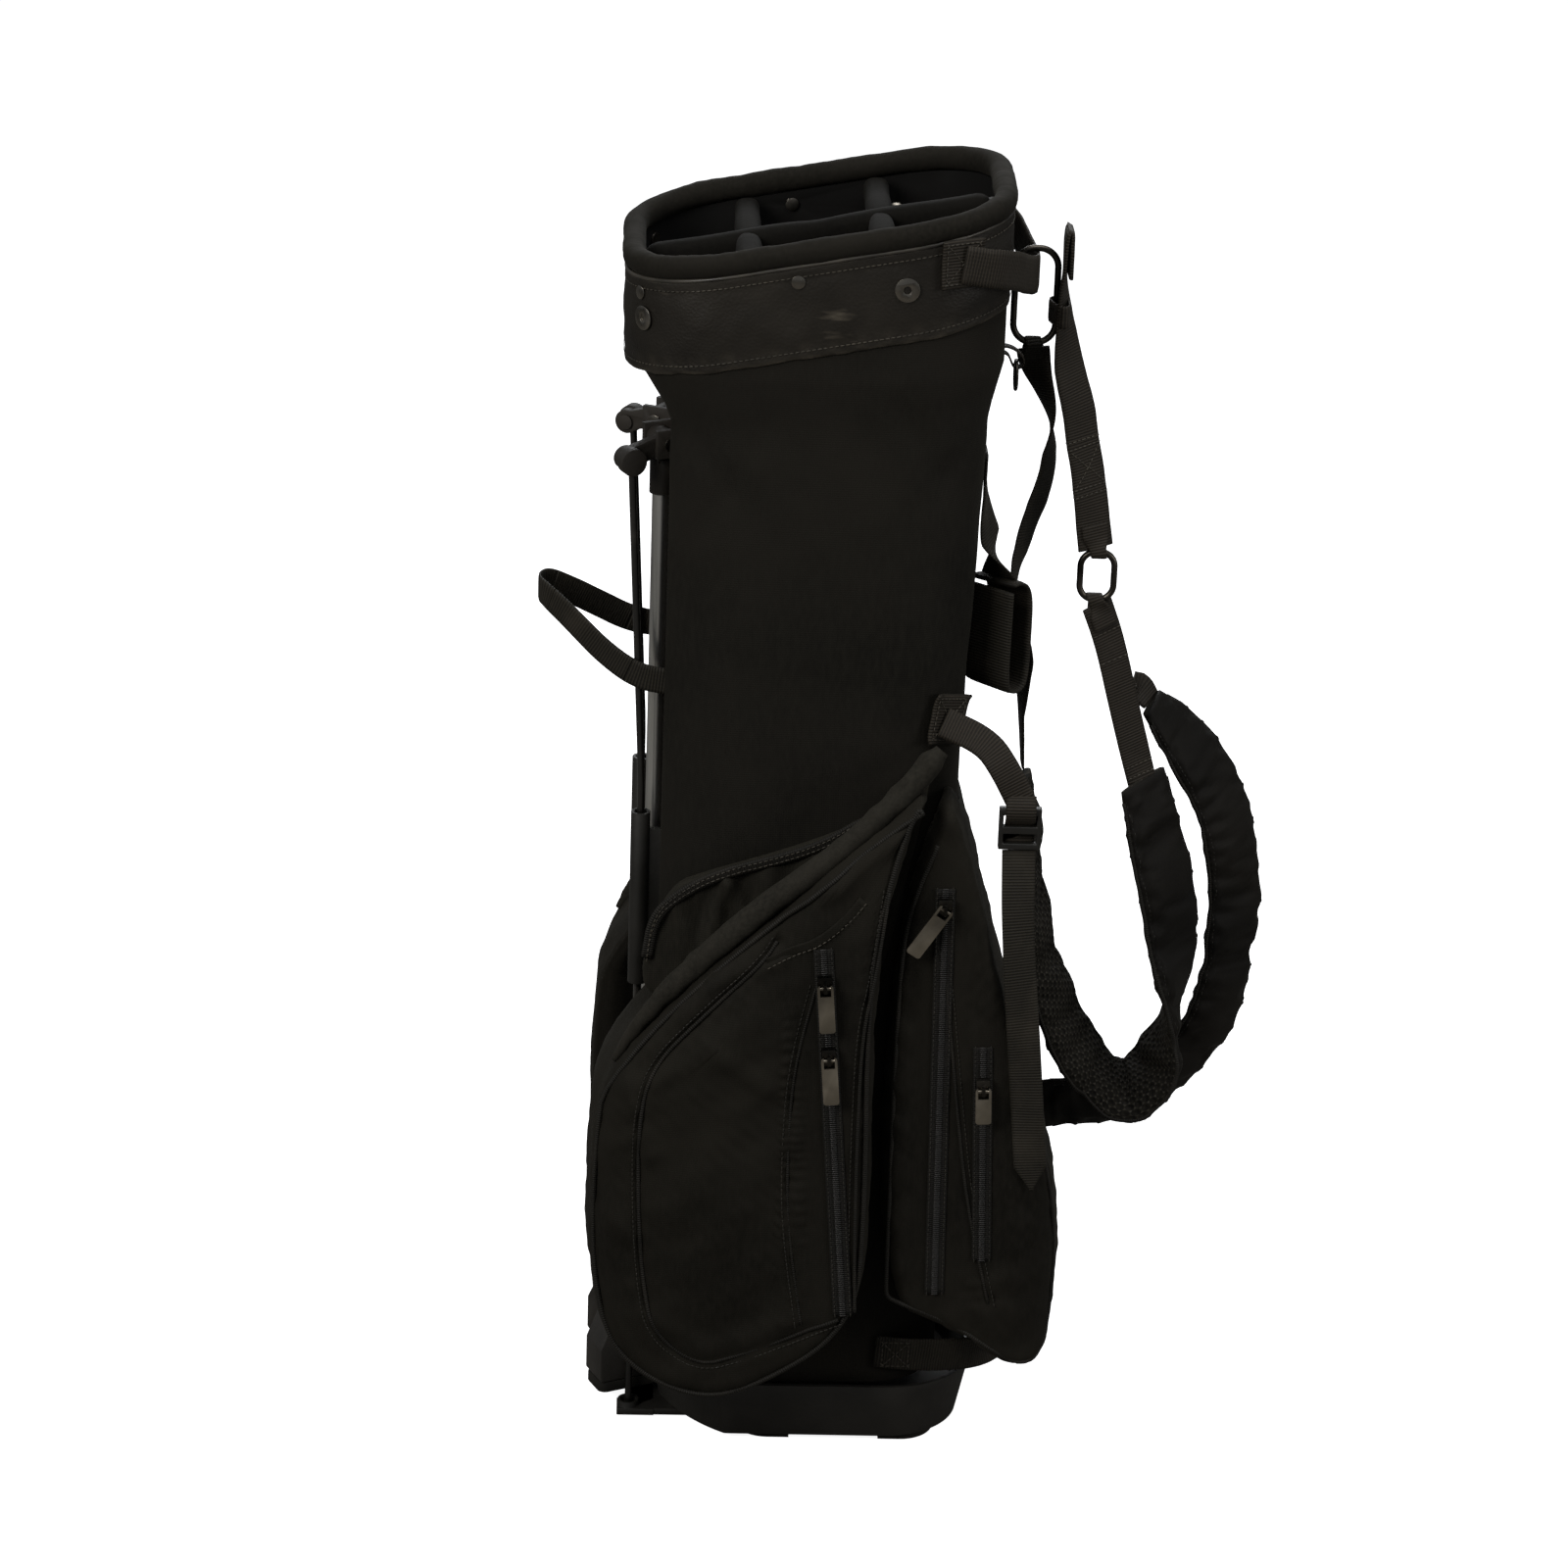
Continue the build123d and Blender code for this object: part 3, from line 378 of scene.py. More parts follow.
def repeat_tree(name, on_line):
    """Copies of a small stamp, spaced along lines or one on each point, standing on the skin."""
    tree = bpy.data.node_groups.new(name, "GeometryNodeTree")
    face = tree.interface
    face.new_socket("Geometry", in_out="INPUT", socket_type="NodeSocketGeometry")
    face.new_socket("Stamp", in_out="INPUT", socket_type="NodeSocketObject")
    face.new_socket("Finish", in_out="INPUT", socket_type="NodeSocketMaterial")
    face.new_socket("Pitch", in_out="INPUT", socket_type="NodeSocketFloat")
    face.new_socket("Size spread", in_out="INPUT", socket_type="NodeSocketFloat")
    face.new_socket("Seed", in_out="INPUT", socket_type="NodeSocketInt")
    face.new_socket("Geometry", in_out="OUTPUT", socket_type="NodeSocketGeometry")
    given = add(tree, "NodeGroupInput").outputs
    out = add(tree, "GeometryNodeInputNamedAttribute", {"Name": "out"}, data_type="FLOAT_VECTOR")
    if on_line:
        line = add(tree, "GeometryNodeMeshToCurve", {"Mesh": given["Geometry"]})
        run = add(tree, "GeometryNodeResampleCurve",
                  {"Curve": line.outputs["Curve"], "Length": given["Pitch"]}, mode="LENGTH")
        points = run.outputs["Curve"]
        way = add(tree, "GeometryNodeInputTangent").outputs["Tangent"]
    else:
        points = given["Geometry"]
        way = add(tree, "GeometryNodeInputNamedAttribute", {"Name": "way"},
                  data_type="FLOAT_VECTOR").outputs["Attribute"]
    first = add(tree, "FunctionNodeAlignRotationToVector", {"Vector": out.outputs["Attribute"]},
                axis="Z")
    turn = add(tree, "FunctionNodeAlignRotationToVector",
               {"Rotation": first.outputs["Rotation"], "Vector": way}, axis="X", pivot_axis="Z")
    stamp = add(tree, "GeometryNodeObjectInfo", {"Object": given["Stamp"]},
                transform_space="ORIGINAL")
    low = add(tree, "ShaderNodeMath", {0: 1.0, 1: given["Size spread"]}, operation="SUBTRACT")
    high = add(tree, "ShaderNodeMath", {0: 1.0, 1: given["Size spread"]}, operation="ADD")
    size = add(tree, "FunctionNodeRandomValue", {2: low.outputs[0], 3: high.outputs[0],
                                                 "Seed": given["Seed"]}, data_type="FLOAT")
    copies = add(tree, "GeometryNodeInstanceOnPoints",
                 {"Points": points, "Instance": stamp.outputs["Geometry"],
                  "Rotation": turn.outputs["Rotation"], "Scale": size.outputs[1]})
    real = add(tree, "GeometryNodeRealizeInstances", {"Geometry": copies.outputs["Instances"]})
    done = add(tree, "GeometryNodeSetMaterial",
               {"Geometry": real.outputs["Geometry"], "Material": given["Finish"]})
    add(tree, "NodeGroupOutput", {"Geometry": done.outputs["Geometry"]})
    return tree


def stamped(name, tree, stamp, material, rows, pitch=0.0, spread=0.0):
    """Runs a repeat tree over rows of (points, outs) or (points, outs, ways), on the bag."""
    verts, outs, ways, edges = [], [], [], []
    for row in rows:
        start = len(verts)
        verts += list(row[0] * MM)
        outs += list(row[1])
        ways += list(row[2] if len(row) > 2 else row[1])
        if pitch:
            edges += [(start + k, start + k + 1) for k in range(len(row[0]) - 1)]
    mesh = bpy.data.meshes.new(name)
    mesh.from_pydata([tuple(v) for v in verts], edges, [])
    for label, values in (("out", outs), ("way", ways)):
        layer = mesh.attributes.new(label, "FLOAT_VECTOR", "POINT")
        layer.data.foreach_set("vector", np.asarray(values, np.float32).ravel())
    piece = linked(name, mesh)
    change = piece.modifiers.new("repeat", "NODES")
    change.node_group = tree
    inputs = {"Stamp": stamp, "Finish": material, "Pitch": pitch * MM, "Size spread": spread,
              "Seed": 7}
    for item in tree.interface.items_tree:
        if item.in_out == "INPUT" and item.name in inputs:
            change[item.identifier] = inputs[item.name]
    applied(piece)
    coat(piece, material)
    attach(piece, "bag")


def stamp_shape(name, profile, count, squash=(1, 1, 1)):
    """A small turned shape, its profile given as (radius, height) from the skin upwards."""
    profile = np.array(profile, float)
    t = np.linspace(0, 2 * pi, count, endpoint=False)
    grid = np.stack([profile[:, :1] * np.cos(t) * squash[0], profile[:, :1] * np.sin(t) * squash[1],
                     np.repeat(profile[:, 1:], count, 1) * squash[2]], 2)
    piece = grid_piece(name, grid, True, (profile[0, 0] > 0, True))
    outwards(piece)
    return piece


# ---------------------------------------------------------------- finishes

def linear(code):
    """An sRGB colour such as #1c1b17 in the linear values that shaders take."""
    parts = [int(code[k:k + 2], 16) / 255 for k in (1, 3, 5)]
    return [c / 12.92 if c <= 0.04045 else ((c + 0.055) / 1.055) ** 2.4 for c in parts] + [1.0]


def new_finish(name, rough, **settings):
    """A material, its node tree and its main shader. Settings are the shader's own inputs, and
    text among them is an sRGB colour."""
    made = bpy.data.materials.new(name)
    made.use_nodes = True
    shader = made.node_tree.nodes["Principled BSDF"]
    shader.inputs["Roughness"].default_value = rough
    for key, value in settings.items():
        key = key.replace("_", " ")
        shader.inputs[key].default_value = linear(value) if isinstance(value, str) else value
    return made, made.node_tree, shader


def place(tree, kind="Object", scale=(1, 1, 1), turn=(0, 0, 0)):
    """Texture coordinates in metres, stretched and turned."""
    where = add(tree, "ShaderNodeTexCoord").outputs[kind]
    return add(tree, "ShaderNodeMapping",
               {"Vector": where, "Scale": scale, "Rotation": turn}).outputs[0]


NOISE_SPOT = 500.0        # width of a noise texture's spots at scale 1, in millimetres
BAND_PITCH = 0.314        # distance between a wave texture's bands at scale 1, in metres


def noise(tree, where, size, detail):
    """Cloudy variation with spots about `size` millimetres wide, and finer ones as detail grows."""
    return add(tree, "ShaderNodeTexNoise",
               {"Vector": where, "Scale": NOISE_SPOT / size, "Detail": detail}).outputs[0]


def bands(tree, where, pitch, way="X"):
    """Even ribs, `pitch` millimetres apart."""
    return add(tree, "ShaderNodeTexWave", {"Vector": where, "Scale": BAND_PITCH / (pitch * MM)},
               wave_type="BANDS", bands_direction=way).outputs["Fac"]


def sums(tree, first, second, share=1.0):
    """The first value plus a share of the second."""
    scaled = add(tree, "ShaderNodeMath", {0: second, 1: share}, operation="MULTIPLY")
    return add(tree, "ShaderNodeMath", {0: first, 1: scaled.outputs[0]}).outputs[0]


def between(tree, fac, low, high, dark, light):
    """A colour from dark to light while fac goes from low to high."""
    at = add(tree, "ShaderNodeMapRange", {0: fac, 1: low, 2: high}).outputs[0]
    mix = add(tree, "ShaderNodeMix", {0: at}, data_type="RGBA")
    for socket, colour in ((6, dark), (7, light)):
        if isinstance(colour, str):
            mix.inputs[socket].default_value = linear(colour)
        else:
            tree.links.new(colour, mix.inputs[socket])
    return mix.outputs[2]


def relief(tree, shader, height, depth, under=None):
    """Bumps of `depth` millimetres, over other bumps if they are given."""
    links = {"Height": height, "Distance": depth * MM, "Strength": 1.0}
    if under is not None:
        links["Normal"] = under
    made = add(tree, "ShaderNodeBump", links).outputs[0]
    tree.links.new(made, shader.inputs["Normal"])
    return made


def paint(tree, shader, colour, rough=None):
    """Links the colour, and the roughness if it varies."""
    tree.links.new(colour, shader.inputs["Base Color"])
    if rough is not None:
        tree.links.new(rough, shader.inputs["Roughness"])


def span(tree, fac, low, high, to_low, to_high):
    """A value from to_low to to_high while fac goes from low to high."""
    return add(tree, "ShaderNodeMapRange",
               {0: fac, 1: low, 2: high, 3: to_low, 4: to_high}).outputs[0]


def worn_share(tree):
    """The share of wear or mesh that is stored with the piece's points."""
    return add(tree, "ShaderNodeAttribute", attribute_name="wear").outputs["Fac"]


def coated_nylon(name, dark, light, dusty, sheen=0.03):
    """Woven 600-denier nylon with a polyurethane coat on its back: a dull, slightly heathered
    surface, dusty where it has been handled. The 0.6 mm weave is drawn 1.5 mm coarse."""
    thread = 1.5
    made, tree, shader = new_finish(name, 0.8, Specular_IOR_Level=0.1, Sheen_Weight=sheen,
                                    Sheen_Roughness=0.5, Sheen_Tint="#b0a999")
    level = place(tree)
    turned = place(tree, turn=(0, 0, radians(45)))
    weave = sums(tree, bands(tree, turned, thread * 0.72), bands(tree, level, thread, "Z"), 0.8)
    heather = noise(tree, place(tree, scale=(1, 1, 0.35)), 1.6, 2.0)
    cloud = noise(tree, level, 70, 3.0)
    base = between(tree, heather, 0.3, 0.72, dark, light)
    shade = between(tree, cloud, 0.38, 0.7, base, dusty)
    rubbed = between(tree, worn_share(tree), 0.0, 1.0, shade, dusty)
    paint(tree, shader, rubbed, span(tree, cloud, 0.3, 0.7, 0.72, 0.86))
    soft = relief(tree, shader, noise(tree, level, 26, 2.0), 1.2)
    relief(tree, shader, sums(tree, weave, heather, 2.0), 0.055, soft)
    return made


def grained_vinyl():
    """Leather-grained PVC laminated on felt: a fine pebble, satin where it is rubbed, with pale
    scuffs that run along the cuff."""
    made, tree, shader = new_finish("cuff_grained_vinyl", 0.58, Specular_IOR_Level=0.16)
    level = place(tree)
    cloud = noise(tree, level, 45, 4.0)
    scuff = noise(tree, place(tree, scale=(0.35, 0.35, 1.6)), 7, 4.0)
    patch = noise(tree, level, 32, 2.0)
    rub = add(tree, "ShaderNodeMath", {0: scuff, 1: patch}, operation="MULTIPLY").outputs[0]
    base = between(tree, cloud, 0.35, 0.68, "#1b1916", "#2a2722")
    marked = between(tree, rub, 0.36, 0.46, base, "#4b463d")
    edge = between(tree, worn_share(tree), 0.0, 1.0, marked, "#4a453c")
    paint(tree, shader, edge, span(tree, cloud, 0.3, 0.7, 0.42, 0.66))
    pebble = add(tree, "ShaderNodeTexVoronoi", {"Vector": level, "Scale": 560.0})
    soft = relief(tree, shader, noise(tree, level, 22, 2.0), 0.8)
    relief(tree, shader, sums(tree, pebble.outputs["Distance"], scuff, 0.6), 0.22, soft)
    return made


def brushed_knit(name, dark, light, sheen=0.06):
    """Brushed tricot knit over foam: a soft nap that is lighter at grazing angles."""
    made, tree, shader = new_finish(name, 0.9, Specular_IOR_Level=0.1, Sheen_Weight=sheen,
                                    Sheen_Roughness=0.35, Sheen_Tint="#8d877a")
    level = place(tree)
    nap = noise(tree, level, 1.5, 3.0)
    cloud = noise(tree, level, 30, 3.0)
    base = between(tree, nap, 0.3, 0.75, dark, light)
    paint(tree, shader, between(tree, cloud, 0.35, 0.75, base, light))
    soft = relief(tree, shader, noise(tree, level, 16, 2.0), 0.7)
    relief(tree, shader, nap, 0.18, soft)
    return made


def spacer_mesh():
    """Warp-knitted spacer mesh where `wear` is 1, with 3 mm holes in rows 5 mm apart whose rims
    carry a painted highlight, and smooth coated nylon where it is 0."""
    made, tree, shader = new_finish("pad_spacer_mesh", 0.7, Specular_IOR_Level=0.1,
                                    Sheen_Weight=0.05, Sheen_Tint="#8d877a")
    flat = place(tree, "UV")
    turned = place(tree, "UV", turn=(0, 0, radians(60)))
    back = place(tree, "UV", turn=(0, 0, radians(-60)))
    rows = sums(tree, sums(tree, bands(tree, flat, 4.6), bands(tree, turned, 4.6)),
                bands(tree, back, 4.6))
    level = place(tree)
    strand = noise(tree, level, 1.5, 2.0)
    # the rims of the holes are painted lighter: a painted highlight
    rim = span(tree, rows, 1.95, 2.35, 0.0, 1.0)
    knit = between(tree, rim, 0.0, 1.0, "#0e0d0b", "#4d4a43")
    knit = between(tree, strand, 0.35, 0.8, knit, "#24221d")
    cloth = between(tree, noise(tree, level, 40, 3.0), 0.35, 0.7, "#0e0d0b", "#191714")
    part = worn_share(tree)
    paint(tree, shader, between(tree, part, 0.4, 0.6, cloth, knit),
          span(tree, part, 0.4, 0.6, 0.62, 0.85))
    depth = add(tree, "ShaderNodeMath", {0: rows, 1: part}, operation="MULTIPLY").outputs[0]
    soft = relief(tree, shader, noise(tree, level, 14, 2.0), 0.9)
    relief(tree, shader, sums(tree, depth, strand, 0.3), 0.5, soft)
    return made


def ribbed_webbing(name, dark, light, rib=2.0, worn="#332f28"):
    """Woven polypropylene webbing: tight cross ribs with a faint sheen and a denser selvedge. The
    1.4 mm ribs are drawn 2 mm coarse."""
    made, tree, shader = new_finish(name, 0.65, Specular_IOR_Level=0.2, Sheen_Weight=0.04,
                                    Sheen_Tint="#8d877a")
    flat = place(tree, "UV")
    ribs = bands(tree, flat, rib, "Y")
    strands = bands(tree, flat, rib * 1.3, "X")
    cloud = noise(tree, place(tree), 18, 4.0)
    base = between(tree, ribs, 0.2, 0.9, dark, light)
    paint(tree, shader, between(tree, cloud, 0.5, 0.8, base, worn))
    soft = relief(tree, shader, noise(tree, place(tree), 12, 2.0), 0.6)
    relief(tree, shader, sums(tree, ribs, strands, 0.2), 0.3, soft)
    return made


def sewing_thread(name, colour):
    """Bonded polyester thread, slightly waxed."""
    made, tree, shader = new_finish(name, 0.5, Specular_IOR_Level=0.4)
    cloud = noise(tree, place(tree), 25, 2.0)
    paint(tree, shader, between(tree, cloud, 0.3, 0.7, colour, "#2b2822"))
    return made


def moulded_plastic(name, dark, light, rough, pit=0.1, shine=0.5):
    """Injection-moulded plastic with a fine spark-eroded texture, greyed and scratched."""
    made, tree, shader = new_finish(name, rough, Specular_IOR_Level=shine)
    level = place(tree)
    cloud = noise(tree, level, 18, 4.0)
    grain = noise(tree, level, 1.5, 2.0)
    paint(tree, shader, between(tree, cloud, 0.35, 0.7, dark, light),
          span(tree, cloud, 0.3, 0.7, rough - 0.08, rough + 0.12))
    relief(tree, shader, grain, pit)
    return made


def metal(name, dark, light, rough):
    """Metal with its surface wear: fine scratches and dulled patches."""
    scratch = 0.02
    made, tree, shader = new_finish(name, rough, Metallic=1.0)
    level = place(tree)
    cloud = noise(tree, level, 12, 4.0)
    paint(tree, shader, between(tree, cloud, 0.3, 0.75, dark, light),
          span(tree, cloud, 0.3, 0.7, rough - 0.07, rough + 0.13))
    relief(tree, shader, noise(tree, level, 1.6, 2.0), scratch)
    return made


def anodised_tube():
    """Drawn aluminium tube, satin anodised: bright, with hair lines along its length."""
    made, tree, shader = new_finish("leg_anodised_aluminium", 0.34, Metallic=1.0)
    hair = noise(tree, place(tree, scale=(1, 1, 0.02)), 1.5, 2.0)
    paint(tree, shader, between(tree, hair, 0.3, 0.7, "#c6c6c3", "#e0e0dd"),
          span(tree, hair, 0.3, 0.7, 0.28, 0.42))
    return made


def painted_steel():
    """Cold-drawn steel rod with a gloss black enamel, chipped dull in places."""
    made, tree, shader = new_finish("rod_black_enamel", 0.32, Coat_Weight=0.4, Coat_Roughness=0.2)
    cloud = noise(tree, place(tree), 14, 4.0)
    paint(tree, shader, between(tree, cloud, 0.55, 0.72, "#12110f", "#2c2a27"))
    return made


def black_rubber():
    """Moulded EPDM rubber, dusty and matt."""
    made, tree, shader = new_finish("sole_rubber", 0.88, Specular_IOR_Level=0.25)
    cloud = noise(tree, place(tree), 20, 4.0)
    paint(tree, shader, between(tree, cloud, 0.4, 0.7, "#161512", "#2a2823"))
    relief(tree, shader, noise(tree, place(tree), 2.0, 3.0), 0.15)
    return made


def glass_fibre():
    """Pultruded glass-fibre rod: grey-green, glossy, with fibres along it."""
    made, tree, shader = new_finish("stay_glass_fibre", 0.3)
    fibre = noise(tree, place(tree, scale=(1, 1, 0.02)), 1.5, 2.0)
    paint(tree, shader, between(tree, fibre, 0.3, 0.7, "#5c6058", "#767b70"))
    return made


body_cloth = coated_nylon("body_coated_nylon", "#12110e", "#1a1915", "#201e1a")
pocket_cloth = coated_nylon("pocket_coated_nylon", "#12110d", "#1a1814", "#201e19")
gusset_cloth = coated_nylon("gusset_coated_nylon", "#1a1915", "#25231e", "#2b2923")
# the divider walls' taffeta is a darker copy of the coated nylon: painted shade for the inside of
# the mouth
painted_shade_lining = coated_nylon("lining_taffeta_painted_shade", "#0a0a08", "#0f0e0c", "#12110f", sheen=0.0)
binding = ribbed_webbing("grosgrain_binding", "#11100d", "#1f1d19", rib=1.6, worn="#26231e")
zip_tape = ribbed_webbing("zip_herringbone_tape", "#0f0e0c", "#191815", rib=1.5, worn="#1c1a17")
cuff_vinyl = grained_vinyl()
knit = brushed_knit("rim_brushed_knit", "#14130f", "#1f1d19")
# the divider bars' knit is a much darker copy of the rim knit: painted shade for the dark inside of
# the mouth
shaded_divider_knit = brushed_knit("divider_knit_painted_shade", "#0b0a08", "#12110e", 0.02)
roll_knit = brushed_knit("roll_brushed_knit", "#1e1d19", "#2c2a25")
pad_mesh = spacer_mesh()
webbing = ribbed_webbing("polypropylene_webbing", "#15130f", "#2a2720")
old_webbing = ribbed_webbing("strap_webbing_faded", "#191611", "#2f2a23", worn="#2c2822")
pale_thread = sewing_thread("thread_faded", "#4a453b")
dark_thread = sewing_thread("thread_black", "#1b1a17")
welt_vinyl = moulded_plastic("welt_vinyl", "#24221e", "#46423a", 0.4, 0.05)
black_plastic = moulded_plastic("polypropylene_black", "#141310", "#1f1d19", 0.55)
# the collar ring's black is darker than the other black plastics: painted shade for the inside of
# the mouth
collar_plastic_painted_shade = moulded_plastic("collar_polyethylene_painted_shade", "#090908", "#0e0d0c", 0.8, shine=0.15)
buckle_plastic = moulded_plastic("acetal_black", "#151412", "#1f1e1b", 0.38, 0.04)
grey_plastic = moulded_plastic("nylon_grey", "#1c1a17", "#2e2a25", 0.55, shine=0.35)
boot_plastic = moulded_plastic("boot_nylon_grey", "#201e1b", "#302d29", 0.55)
coil = moulded_plastic("zip_coil_nylon", "#11100e", "#1a1816", 0.45, 0.02)
zinc = metal("zinc_pull_antique", "#7d766a", "#a59c8d", 0.38)
nickel = metal("black_nickel_plate", "#2b2926", "#55514a", 0.3)
fixing_steel = metal("fixing_plated_steel", "#6b665e", "#a39d93", 0.24)
aluminium = anodised_tube()
enamel = painted_steel()
rubber = black_rubber()
fibre = glass_fibre()

along_path = repeat_tree("stamps along lines", True)
on_points = repeat_tree("stamps on points", False)


# ---------------------------------------------------------------- bag tube

def tube_size(z):
    """Width, depth, corner and shift of the tube's outside at a height."""
    heights = [500, 735, 768]
    flare, mouth = (210, 184, 50, 7.5), (244.3, 192.3, 66, 0)
    return [np.interp(z, heights, row) for row in zip(TUBE, flare, mouth)]


def bow(centre, radius, first, last, count):
    """Points on an arc, without its last one. Angles in degrees from +X."""
    a = np.radians(np.linspace(first, last, count, endpoint=False))
    return np.stack([centre[0] + radius * np.cos(a), centre[1] + radius * np.sin(a)], 1)


def between_points(first, last, count):
    """Evenly spaced points on a straight line, without its last one."""
    return np.linspace(first, last, count, endpoint=False)


def tube_ring(z, notch):
    """The tube's outline at a height. notch is 1 where the leg channel is pressed in."""
    width, depth, corner, shift = tube_size(z)
    right, left, front = shift + width / 2, shift - width / 2, depth / 2
    inner = front - corner
    turn = np.degrees(np.arcsin((CHANNEL_HALF - inner) / corner))
    edge_x = left + corner - corner * cos(radians(turn))
    side = np.vstack([bow((left + corner, -inner), corner, 180 + turn, 180, 8),
                      between_points((left, -inner), (left, 0), 12)])
    pressed = np.vstack([between_points((edge_x, -CHANNEL_HALF), (CHANNEL_X, -CHANNEL_HALF), 8),
                         between_points((CHANNEL_X, -CHANNEL_HALF), (CHANNEL_X, 0), 12)])
    half = np.vstack([
        between_points((right, 0), (right, -inner), 9),
        bow((right - corner, -inner), corner, 0, -90, 14),
        between_points((right - corner, -front), (left + corner, -front), 32),
        bow((left + corner, -inner), corner, 270, 180 + turn, 14),
        side * (1 - notch) + pressed * notch])
    ring = np.vstack([half, [[half[-1][0], 0]], half[::-1] * (1, -1)])[:-1]
    if notch > 0:
        ring = (np.roll(ring, 1, 0) + 2 * ring + np.roll(ring, -1, 0)) / 4
    return ring


def body_tube():
    """One sheet of padded cloth sewn into a tube. It is pressed in for the legs, and flares out
    to the cuff."""
    notch_top = 767
    heights = list(np.arange(49, 755, 11)) + [757, 760, 762.5, 764.5, 766.5, 769, 774, 782, 792]
    rows = []
    for z in heights:
        ring = tube_ring(z, float(np.clip((notch_top - z) / 4.5, 0, 1)))
        rows.append(np.column_stack([ring, np.full(len(ring), z)]))
    last = rows[-1]
    top = RIM - 15.25 + SLOPE * last[:, 0]
    for t in (0.33, 0.66, 1.0):
        row = last.copy()
        row[:, 2] = last[:, 2] + t * (top - last[:, 2])
        rows.append(row)
    grid = np.array(rows)
    normal = skin_normals(grid)
    flat = grid.reshape(-1, 3)
    x, y, z = flat.T
    free = ease((z - 60) / 60) * ease((775 - z) / 40) * np.where(
        (x < CHANNEL_X + 4) & (np.abs(y) < CHANNEL_HALF + 3), 0.15, 1.0)
    push = 1.1 * ripple(flat * (1, 1, 0.6), 150, 11, 2) + 0.45 * ripple(flat, 48, 12, 2)
    # a sagging fold under the cuff, then slanting dents on the front
    sag = np.exp(-((z - 738 - 0.12 * x) / 13) ** 2)
    sag -= 0.8 * np.exp(-((z - 716 - 0.10 * x) / 12) ** 2)
    push += 1.3 * sag * (0.6 + 0.4 * np.sin(x / 31.0 + y / 40.0)) * (np.abs(y) > 55)
    for tilt, place_x, place_z, reach in ((0.9, -72, 716, 46), (-0.5, -58, 690, 40),
                                          (0.6, 70, 726, 42), (-0.8, 84, 705, 36)):
        run = (x - place_x) + tilt * (z - place_z)
        push += 2.1 * np.exp(-(run / 8) ** 2) * np.exp(-((z - place_z) / reach) ** 2) * (y < -40)
    flat += (push * free)[:, None] * normal.reshape(-1, 3)
    wear = ease((z - 700) / 60) * 0.25 * (0.5 + 0.5 * ripple(flat, 40, 5))
    piece = grid_piece("body_cloth", flat.reshape(grid.shape), wear=np.clip(wear, 0, 1))
    outwards(piece)
    thicken(piece, 3.0)
    finish(piece, body_cloth, replaces=["body_shell"])


# ---------------------------------------------------------------- cuff

def cuff_outline(inset, count):
    """The cuff's outline seen from above, from the strap side round by the front."""
    width, depth, corner = CUFF[0] - 2 * inset, CUFF[1] - 2 * inset, CUFF[2] - inset
    right, front = width / 2, depth / 2
    ring = np.vstack([between_points((right, 0), (right, corner - front), 4),
                      bow((right - corner, corner - front), corner, 0, -90, 16),
                      between_points((right - corner, -front), (corner - right, -front), 6),
                      bow((corner - right, corner - front), corner, 270, 180, 16),
                      between_points((-right, corner - front), (-right, front - corner), 6),
                      bow((corner - right, front - corner), corner, 180, 90, 16),
                      between_points((corner - right, front), (right - corner, front), 6),
                      bow((right - corner, front - corner), corner, 90, 0, 16),
                      between_points((right, front - corner), (right, 0), 4)])
    return spaced(ring, count, closed=True)


def at_slope(outline, below_rim):
    """The outline at this depth under the slanted rim."""
    return np.column_stack([outline, RIM - below_rim + SLOPE * outline[:, 0]])


def cuff_band():
    """A wide band of vinyl sewn round the top of the tube, turned under at both edges."""
    depths = [CUFF_FOOT, 75.4, 73, 70, 67, 62, 56, 49, 42, 36, 30, 25, 22, 19, 16.5, 15.3, CUFF_TOP]
    bulge = [-0.5, 0.1, 0.4, 0.1, 0.3, 0.8, 1.1, 1.2, 1.2, 1.1, 0.9, 0.5, 0.1, 0.4, 0.4, 0.1, -0.5]
    rows, wear = [], []
    for depth, out in zip(depths, bulge):
        ring = cuff_outline(-out + 0.4, 280)
        row = at_slope(ring, depth)
        if depth > 70:
            row[:, 2] += 0.5 * ripple(row, 24, 31, 3)
        rows.append(row)
        wear.append(0.75 * (0.5 + 0.5 * ripple(row, 17, 32)) if depth > 73 or depth < 16
                    else 0.12 * (depth > 66) * (0.5 + ripple(row, 14, 33)))
    grid = np.array(rows)
    normal = skin_normals(grid)
    flat = grid.reshape(-1, 3)
    inner = np.repeat(np.clip(np.array(bulge) / 1.2, 0, 1), grid.shape[1])
    push = inner * (0.7 * ripple(flat * (1, 1, 1.4), 46, 34, 3) + 0.35 * ripple(flat, 15, 35, 2))
    flat += push[:, None] * normal.reshape(-1, 3)
    piece = grid_piece("cuff_vinyl_band", flat.reshape(grid.shape),
                       wear=np.clip(np.array(wear), 0, 1))
    outwards(piece)
    thicken(piece, 1.6)
    finish(piece, cuff_vinyl, replaces=["collar_band"])
    for depth, out in ((CUFF_TOP + 6.0, 0.1), (CUFF_FOOT - 5.7, 0.05)):
        row = at_slope(cuff_outline(-out, 400), depth)
        outs = skin_normals(np.array([row, row + (0, 0, 1)]))[0]
        outs *= np.sign((outs[:, :2] * row[:, :2]).sum(1))[:, None]
        sew("pale", np.vstack([row, row[:1]]), np.vstack([outs, outs[:1]]), 0.2)


def cuff_welt():
    """A thin cord of vinyl between the padded rim and the band."""
    path = at_slope(cuff_outline(0.3, 220), 14.3)
    piece = swept("cuff_welt", path, Z_WAY, oval(2.6, 2.6, 10), True)
    finish(piece, welt_vinyl)


